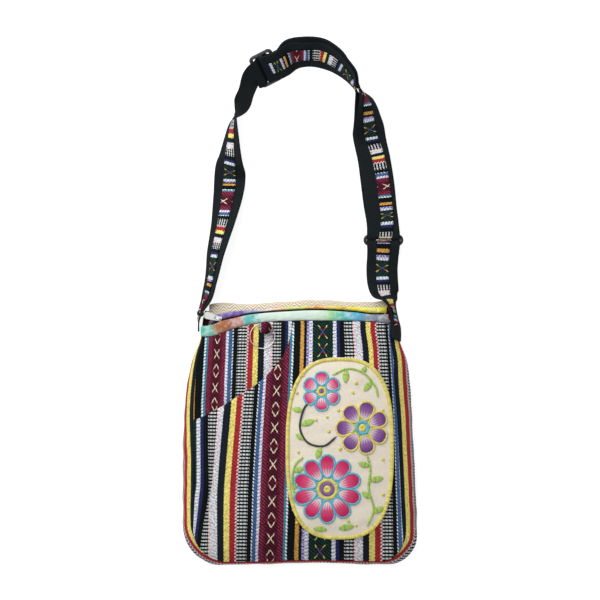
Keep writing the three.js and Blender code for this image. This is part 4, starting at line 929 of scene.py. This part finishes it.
# Strap sections: middle, width, and the heading and rise of the edge on the right with the band on top.
slider = dict(x=-43, y=294, z=19.5, heading=27, tilt=40, length=50, width=32, thickness=3, corner=4.2,
              slotLength=41, slot=8.5, bar=5)
ringSize = dict(x=106.5, topBar=81.5, lowBar=71.5, halfWidth=23.5, corner=4.5, rod=2, z=5.7, reach=3.4)
leftRun = [
    [-129.2, -40, 13, 24, 0, 88], [-128.8, -27, 13, 24, 0, 85], [-126.2, -14, 13, 25, -6, 74],
    [-118.6, 3, 14, 29, -12, 61], [-113, 26, 16, 34, -12, 61], [-106.5, 63, 16.2, 38, -13, 52],
    [-97.5, 100, 14.4, 40, -12, 41], [-91, 138, 7, 40, -6, 17], [-89.6, 156, 3.5, 40, -3, 3],
    [-88.5, 178, 13.5, 40, -3, 40], [-86.8, 203, 18, 40, -5, 60], [-83.4, 229, 20.2, 40, 10, 79],
    [-74, 248.5, 19.2, 40, 142, 62], [-67.5, 265.5, 19.6, 40, 140, 64],
    [-60.2, 281.2, 23.2, 40, 118, 54],
]
outerRun = [
    [-12, 313.4, 20.6, 40, 112, 40], [4.5, 318.5, 21, 40, 98, 50], [26.9, 316.3, 18.4, 40, 76, 47],
    [44.1, 307.4, 19.8, 40, 55, 57], [54.6, 297.6, 20, 40, 42, 66], [67.2, 284.5, 20.8, 40, 35, 76],
    [74.6, 269, 20.8, 40, 150, 84],
    [83.5, 252, 19.6, 40, 180, 58], [87.3, 226, 15.6, 40, 180, 31], [90, 204, 7.4, 40, 180, 6],
    [95.4, 179, 6.8, 40, 176, 0], [100.5, 147, 6.8, 40, 175, 0], [103.7, 115, 7.2, 40, 177, 0],
    [105.8, 98, 8.1, 40, 180, 0],
]
innerRun = [
    [105, 100, 2.2, 40, 180, 0], [101, 124, 2.2, 40, 178, 0], [97.3, 153, 2.2, 40, 176, 0],
    [93.6, 181, 2.3, 40, 176, 0], [88.3, 205, 2.9, 40, 176, 2], [84.3, 225, 12.3, 40, 178, 32],
    [77.8, 246, 18.6, 40, 178, 60], [71.6, 266, 20.4, 40, 150, 84],
    [64.4, 282.5, 20, 40, 35, 76], [52.2, 295.5, 19.2, 40, 42, 66], [41.6, 303.8, 17.8, 40, 55, 57],
    [25.6, 311.1, 16, 40, 76, 47], [5.5, 311.4, 16.5, 40, 98, 50], [-10, 308.4, 19.4, 40, 112, 40],
]
shortRun = [
    [120.6, -50, 26.8, 26, 0, -57], [121, -33, 22.6, 26, 0, -60], [119.8, -22, 19.8, 28, 4, -70],
    [117.5, -10, 17.5, 31, 8, -72], [114.2, 0, 16.4, 36, 10, -60], [108.2, 8.5, 11.8, 40, 7, -30],
    [105.8, 21, 6.6, 40, 3, -10], [104.8, 39, 3.8, 40, 0, 0], [105.6, 54, 5.6, 40, 0, 0],
]
shortTail = [[ringSize["x"], 58, 1.9, 40, 0, 0]]
outerWeave = [  # through the slider: along it and up from it
    [-14, 4.6], [-10, 4.2], [-7, 0.4], [-4.6, -4.6], [-1.5, -5.7], [2.5, -5.3], [7.2, 1.2],
    [10, 4.3], [14, 4.7], [23, 3.8],
]
innerWeave = [
    [22, 6.8], [13.5, 7.1], [9, 6.3], [4, 4], [0, 3.1], [-3.2, 2.4], [-4, 0], [-3.2, -2.4], [-0.5, -3.1],
    [1.8, -3.1],
]
strap = dict(width=40, thickness=1.6, wave=0.22, hollow=0.12, steps=9, spread=1.2, spreadReach=150,
             bulgeReach=6, clear=0.47, clearEdge=0.05, band=0.9, bandShare=0.4, bandLift=1.35, bandCrown=0.25,
             stitch=3.2, stitchGap=1.4, stitchLift=0.5, stitchInset=0.05)


# Unit vector with a heading in plan and a rise, both in degrees.
def direction(heading, rise):
    heading, rise = heading * degree, rise * degree
    return stacked(np.cos(rise) * np.cos(heading), np.cos(rise) * np.sin(heading), np.sin(rise))


# Sections as rows of middle (3), width (1) and side (3).
def strapSections(rows):
    rows = np.array(rows, float)
    return np.concatenate([rows[:, :4], direction(rows[:, 4], rows[:, 5])], 1)


sliderAlong = direction(slider["heading"], 0)
sliderSide = direction(slider["heading"] + 90, slider["tilt"])
sliderUp = np.cross(sliderAlong, sliderSide)
sliderMiddle = np.array([slider["x"], slider["y"], slider["z"]])


# Sections through the slider, placed along and up from its middle.
def weaveSections(rows):
    along, up = np.array(rows, float).T[..., None]
    middle = sliderMiddle + along * sliderAlong + up * sliderUp
    return np.concatenate([middle, np.full_like(along, strap["width"]), np.ones_like(along) * sliderSide], 1)


# Half turn round a bar of the ring, from above it to below it.
def ringTurn(bar, towards, heading):
    angle = np.array([90, 45, 0, -45, -90]) * degree
    reach = ringSize["reach"]
    y, z = bar + towards * reach * np.cos(angle), ringSize["z"] + reach * np.sin(angle)
    return stacked(ringSize["x"], y, z, strap["width"], *direction(heading, 0))


longPath = np.concatenate([
    strapSections(leftRun), weaveSections(outerWeave), strapSections(outerRun),
    ringTurn(ringSize["topBar"], -1, 180), strapSections(innerRun), weaveSections(innerWeave),
])
shortPath = np.concatenate([
    strapSections(shortRun), ringTurn(ringSize["lowBar"], 1, 0), strapSections(shortTail)])


# Centripetal Catmull-Rom curve through points, t counting the points from 0.
def smoothPath(points, t):
    padded = np.concatenate([[2 * points[0] - points[1]], points, [2 * points[-1] - points[-2]]])
    t = np.clip(t, 0, len(points) - 1)
    i = np.minimum(t.astype(int), len(points) - 2)
    w = (t - i)[:, None]
    p0, p1, p2, p3 = (padded[i + k] for k in range(4))
    steps = (p1 - p0, p2 - p1, p3 - p2)
    d0, d1, d2 = (np.sqrt(np.linalg.norm(step, axis=1, keepdims=True)) for step in steps)
    start = ((p1 - p0) / d0 - (p2 - p0) / (d0 + d1) + (p2 - p1) / d1) * d1
    end = ((p2 - p1) / d1 - (p3 - p1) / (d1 + d2) + (p3 - p2) / d2) * d1
    bend, twist = 3 * (p2 - p1) - 2 * start - end, 2 * (p1 - p2) + start + end
    return p1 + start * w + bend * w ** 2 + twist * w ** 3


# Uniform Catmull-Rom blend of rows, t counting the rows from 0.
def blendRows(rows, t):
    i = np.minimum(t.astype(int), len(rows) - 2)
    k = (t - i)[:, None]
    before, after = rows[np.maximum(i - 1, 0)], rows[np.minimum(i + 2, len(rows) - 1)]
    out = rows[i] * (1 + k * k * (1.5 * k - 2.5)) + rows[i + 1] * k * (0.5 + k * (2 - 1.5 * k))
    return out + before * k * (-0.5 + k * (1 - 0.5 * k)) + after * k * k * (0.5 * k - 0.5)


# Frame along a strap: middle, sideways and upwards directions, and half width at each t.
def strapFrame(path, t):
    middle = smoothPath(path[:, :3], t)
    along = unit(smoothPath(path[:, :3], t + 0.05) - smoothPath(path[:, :3], t - 0.05))
    side = blendRows(path[:, 4:], t)
    side = unit(side - along * (side * along).sum(1, keepdims=True))
    return middle, side, np.cross(side, along), blendRows(path[:, 3:4], t) / 2


# Strap: a flat strip across its frame, with turned edges a little thicker than its middle. Where it is folded
# round the ring it spreads sideways and bulges outwards, each as a bell curve of the distance from the fold,
# and the bulge is less in the middle by the share in beside.
def strapPiece(name, path, node, seed, fold, bulge, beside):
    t = np.linspace(0, len(path) - 1, (len(path) - 1) * strap["steps"] + 1)
    middle, side, up, half = strapFrame(path, t)
    share = np.linspace(-1, 1, 17)
    run = lengthAlong(middle, 0)[:, None]
    lift = strap["wave"] * ripple(run, 20 * share, 30, seed) - strap["hollow"] * (1 - share ** 4)
    squared = ((middle - fold) ** 2).sum(1, keepdims=True)
    half = half + strap["spread"] * np.exp(-squared / strap["spreadReach"])
    swell = bulge * np.exp(-squared / strap["bulgeReach"])
    lift = lift + swell * np.clip(1 - beside * (strap["clear"] - np.abs(share)) / strap["clearEdge"], 0, 1)
    points = middle[:, None] + side[:, None] * (half * share)[..., None] + up[:, None] * lift[..., None]
    makePiece(name, points, strapCotton, "black_cotton_strap", [node], thickness=strap["thickness"])
    print(name, "is", round(float(run[-1, 0])), "mm long")


# Band: a narrow strip of the striped cloth cut across its stripes, sewn along the middle of the strap.
def bandPiece(name, path, first, last, threads, node):
    t = np.linspace(first, last, int((last - first) * strap["steps"]) + 1)
    middle, side, up, half = strapFrame(path, t)
    share = np.linspace(-1, 1, 11) * strap["bandShare"]
    crown = strap["bandLift"] + strap["bandCrown"] * (1 - (share / strap["bandShare"]) ** 4)
    reach = half * share + lookUp(threads, t, "aside")[:, None]
    points = middle[:, None] + side[:, None] * reach[..., None] + up[:, None] * crown[:, None]
    cloth = stacked(lookUp(threads, t, "thread")[:, None], half * share + green["start"])
    makePiece(name, points, stripedCotton, "striped_cotton", [node], cloth=cloth, thickness=strap["band"])


# Stitches: short oval threads in two rows beside the band's edges, one every few millimetres of path.
def stitchRows(name, path, first, last, threads):
    fine = np.linspace(first, last, int((last - first) * 40))
    run = lengthAlong(strapFrame(path, fine)[0], 0)
    starts = np.arange(2, run[-1] - strap["stitch"], strap["stitch"] + strap["stitchGap"])
    t = np.interp(starts[:, None] + np.linspace(0, strap["stitch"], 4), run, fine)
    middle, side, up, half = (part.reshape(t.shape + (-1,)) for part in strapFrame(path, t.ravel()))
    lift = strap["bandLift"] + strap["stitchLift"] + np.array([-0.35, 0.1, 0.1, -0.35])[:, None]
    middle = middle + side * lookUp(threads, t, "aside")[..., None] + up * lift
    out = strap["bandShare"] - strap["stitchInset"]
    middle = np.concatenate([middle + side * half * share * out for share in (-1, 1)])
    side, up = np.concatenate([side, side]), np.concatenate([up, up])
    points = ovalTube(middle, side, up, np.array([0.2, 0.4, 0.4, 0.2]), np.array([0.15, 0.3, 0.3, 0.15]), 6)
    makePiece(name, points, strapThread, "black_cotton_strap", **cappedTube)


longThreads = columns("t thread aside", [
    [0, 40, 0], [2.7, 101.5, 0], [4.47, 159.7, 0], [6.65, 275.2, 0], [8.36, 333.4, 0], [10.8, 413.5, 0],
    [13, 481, 0], [31.5, 796.3, 0], [33.4, 854.5, 0], [34.4, 888.8, -3.8], [35.3, 934.6, -5.3],
    [36.1, 970, -6], [37.45, 1028.2, -6.4], [38.9, 1062.5, -3], [43, 1158.4, 0], [53.75, 1409.9, 0],
    [55.25, 1455.7, 0], [56.65, 1491.1, 0], [59, 1549.3, 0], [62, 1580, 0],
])
shortThreads = columns("t thread aside", [
    [0, 290, 0], [1.2, 271, 0], [1.62, 259.3, 0], [1.93, 255, -1], [2.77, 239.8, -3], [3.3, 227.6, -3],
    [4.87, 206.1, -1.5], [5.55, 194, 0], [7.1, 159.7, 0], [10, 101.5, 0],
])
topFold = [ringSize["x"], ringSize["topBar"] - ringSize["reach"], ringSize["z"]]
lowFold = [ringSize["x"], ringSize["lowBar"] + ringSize["reach"], ringSize["z"]]
strapPiece("strapLong", longPath, "strap_long", 81, topFold, 1.5, 1)
strapPiece("strapShort", shortPath, "strap_short", 82, lowFold, 0.85, 0.06)
bandPiece("strapLongBand", longPath, 1, len(longPath) - 7, longThreads, "strap_long_band")
bandPiece("strapShortBand", shortPath, 1, len(shortPath) - 5, shortThreads, "strap_short_band")
stitchRows("strapLongStitches", longPath, 1, len(longPath) - 7, longThreads)
stitchRows("strapShortStitches", shortPath, 1, len(shortPath) - 6, shortThreads)
print("strap built")


# Rounded oblong: quarter circles at four corners joined by straight sides.
def oblong(halfLength, halfWidth, radius, corner):
    turn = np.arange(4 * corner) // corner
    angle = (turn + (np.arange(4 * corner) % corner) / (corner - 1)) * 90 * degree
    x = np.where((turn == 0) | (turn == 3), 1, -1) * (halfLength - radius) + radius * np.cos(angle)
    y = np.where(turn < 2, 1, -1) * (halfWidth - radius) + radius * np.sin(angle)
    return stacked(x, y)


# Closed rod: a round section carried round a closed line.
def closedRod(middle, radius, corners):
    along = unit(np.roll(middle, -1, 0) - np.roll(middle, 1, 0))
    out = unit(np.cross([0.0, 0, 1], along))
    return ovalTube(middle, out, np.cross(along, out), radius, radius, corners)


halfGap = (ringSize["topBar"] - ringSize["lowBar"]) / 2
ringMiddle = (ringSize["topBar"] + ringSize["lowBar"]) / 2
loop = oblong(ringSize["halfWidth"], halfGap, ringSize["corner"], 12)
loop = stacked(ringSize["x"] + loop[:, 0], ringMiddle + loop[:, 1], ringSize["z"])
makePiece("strapRing", closedRod(loop, ringSize["rod"], 16), ringNylon, "black_plastic", ["strap_ring"],
          **closedTube)

# Strap slider: a rounded frame with a rounded section, and a bar across its middle.
halfLength, halfWidth, slotHalf = slider["length"] / 2, slider["width"] / 2, slider["slotLength"] / 2
railLong = halfWidth - slider["bar"] / 2 - slider["slot"]
railEnd = halfLength - slotHalf
rail = oblong(halfLength - railEnd / 2, halfWidth - railLong / 2, slider["corner"], 10)


# Rod of the slider: an oval section along a line drawn flat on it.
def sliderRod(flat, width, closed):
    middle = sliderMiddle + flat[:, :1] * sliderSide - flat[:, 1:] * sliderAlong
    along = np.roll(middle, -1, 0) - np.roll(middle, 1, 0) if closed else np.gradient(middle, axis=0)
    return ovalTube(middle, np.cross(unit(along), sliderUp), sliderUp, width / 2, slider["thickness"] / 2, 16)


makePiece("strapSlider", sliderRod(rail, railLong, True), mouldedNylon, "black_plastic", ["strap_slider"],
          **closedTube)
barLine = stacked(np.linspace(-slotHalf - 1, slotHalf + 1, 9), 0.0)
makePiece("strapSliderBar", sliderRod(barLine, slider["bar"], False), mouldedNylon, "black_plastic",
          **cappedTube)

# Ball button on a shank, stuffed and covered with a scrap of the striped cloth, from white into maroon.
button = dict(x=-43.5, y=-35, radius=8.0, shank=2.0, length=3.0, seat=0.95, lift=1.3, pleat=0.02, pleats=9,
              scrap=-9.2)
base = frontHeight(np.array(button["x"]), np.array(button["y"])) + button["lift"]
sweep = np.linspace(-75, 88, 26) * degree
ball = button["length"] + button["radius"] * (button["seat"] + np.sin(sweep))
radius = np.concatenate([[button["shank"], button["shank"]], button["radius"] * np.cos(sweep)])[:, None]
height = np.concatenate([[0, button["length"]], ball])[:, None]
angle = ringAngles(40)
pleated = radius * (1 + button["pleat"] * np.cos(angle * button["pleats"]))
x, y = polar(button["x"], button["y"], pleated, angle)
scrap = stacked(x + maroon["middle"] + button["scrap"] - button["x"], y)
ball = makePiece("buttonBall", stacked(x, y, base + height), buttonCotton, "button_cloth", ["button_ball"],
                 cloth=scrap, **cappedTube)

# Key ring of bright wire lying on the front, round the button's shank.
keyRing = dict(x=-47.5, y=-45.5, radius=15.6, wire=0.55, lift=3.0)
x, y = polar(keyRing["x"], keyRing["y"], keyRing["radius"], ringAngles(90))
wire = stacked(x, y, frontHeight(x, y) + keyRing["lift"])
makePiece("keyRing", closedRod(wire, keyRing["wire"], 10), steelWire, "steel_wire", ["key_ring"],
          **closedTube)

# Zip pull: the slider and tab keep their CAD shapes in plating, and the bead is turned about the tab's line.
for node in ("zip_slider", "zip_pull_tab"):
    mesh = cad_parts[node].data
    mesh.materials.clear()
    mesh.materials.append(plating)
pull = dict(x=-103.5, y=-23.5, z=25.05, heading=163, rise=15, beadFrom=19.3, beadRadius=4.7)
tabAlong = direction(pull["heading"], pull["rise"])
tabSide = direction(pull["heading"] + 90, 0)
sweep = np.linspace(-79, 79, 24) * degree
alongTab = pull["beadFrom"] + pull["beadRadius"] * (1 + np.sin(sweep))
middle = np.array([pull["x"], pull["y"], pull["z"]]) + alongTab[:, None] * tabAlong
radius = pull["beadRadius"] * np.cos(sweep)
points = ovalTube(middle, tabSide, np.cross(tabAlong, tabSide), radius, radius, 32)
makePiece("zipPullBead", points, beadGlass, "black_bead", ["zip_pull_bead"], body="zip_pull", **cappedTube)
print("fittings built")

# Camera straight above at the photograph's framing, a pale floor and soft light from the upper left.
view = dict(height=2.2, across=0.768, sensor=36)
camera = bpy.data.objects.new("camera", bpy.data.cameras.new("camera"))
camera.location = (0, 0, view["height"])
camera.data.sensor_width = view["sensor"]
camera.data.lens = view["sensor"] * view["height"] / view["across"]
bpy.context.collection.objects.link(camera)
bpy.context.scene.camera = camera

ground = dict(half=4, level=-0.0004, glow=0.88)
cornersOfFloor = [(x * ground["half"], y * ground["half"], ground["level"])
                  for x, y in ((-1, -1), (1, -1), (1, 1), (-1, 1))]
floorMesh = bpy.data.meshes.new("floor")
floorMesh.from_pydata(cornersOfFloor, [], [(0, 1, 2, 3)])
floorPaint, _ = newMaterial("paleFloor", Base_Color="#989898", Roughness=0.9, Specular_IOR_Level=0,
                            Emission_Color="#ffffff", Emission_Strength=ground["glow"])
floorMesh.materials.append(floorPaint)
floor = bpy.data.objects.new("floor", floorMesh)
bpy.context.collection.objects.link(floor)

light = dict(world=0.42, softLight=(10.5, 0.9, (-0.45, 0.75, 0.8)), keyLight=(5, 0.25, (-0.5, 0.3, 1.5)))
world = bpy.data.worlds.new("softBox")
world.use_nodes = True
fill(world.node_tree.nodes["Background"], dict(Color="#ffffff", Strength=light["world"]))
bpy.context.scene.world = world
for name in ("softLight", "keyLight"):
    lamp = bpy.data.objects.new(name, bpy.data.lights.new(name, "AREA"))
    lamp.data.energy, lamp.data.size, lamp.location = light[name]
    lamp.rotation_euler = lamp.location.to_track_quat("Z", "Y").to_euler()
    bpy.context.collection.objects.link(lamp)
bpy.context.scene.view_settings.view_transform = "Standard"
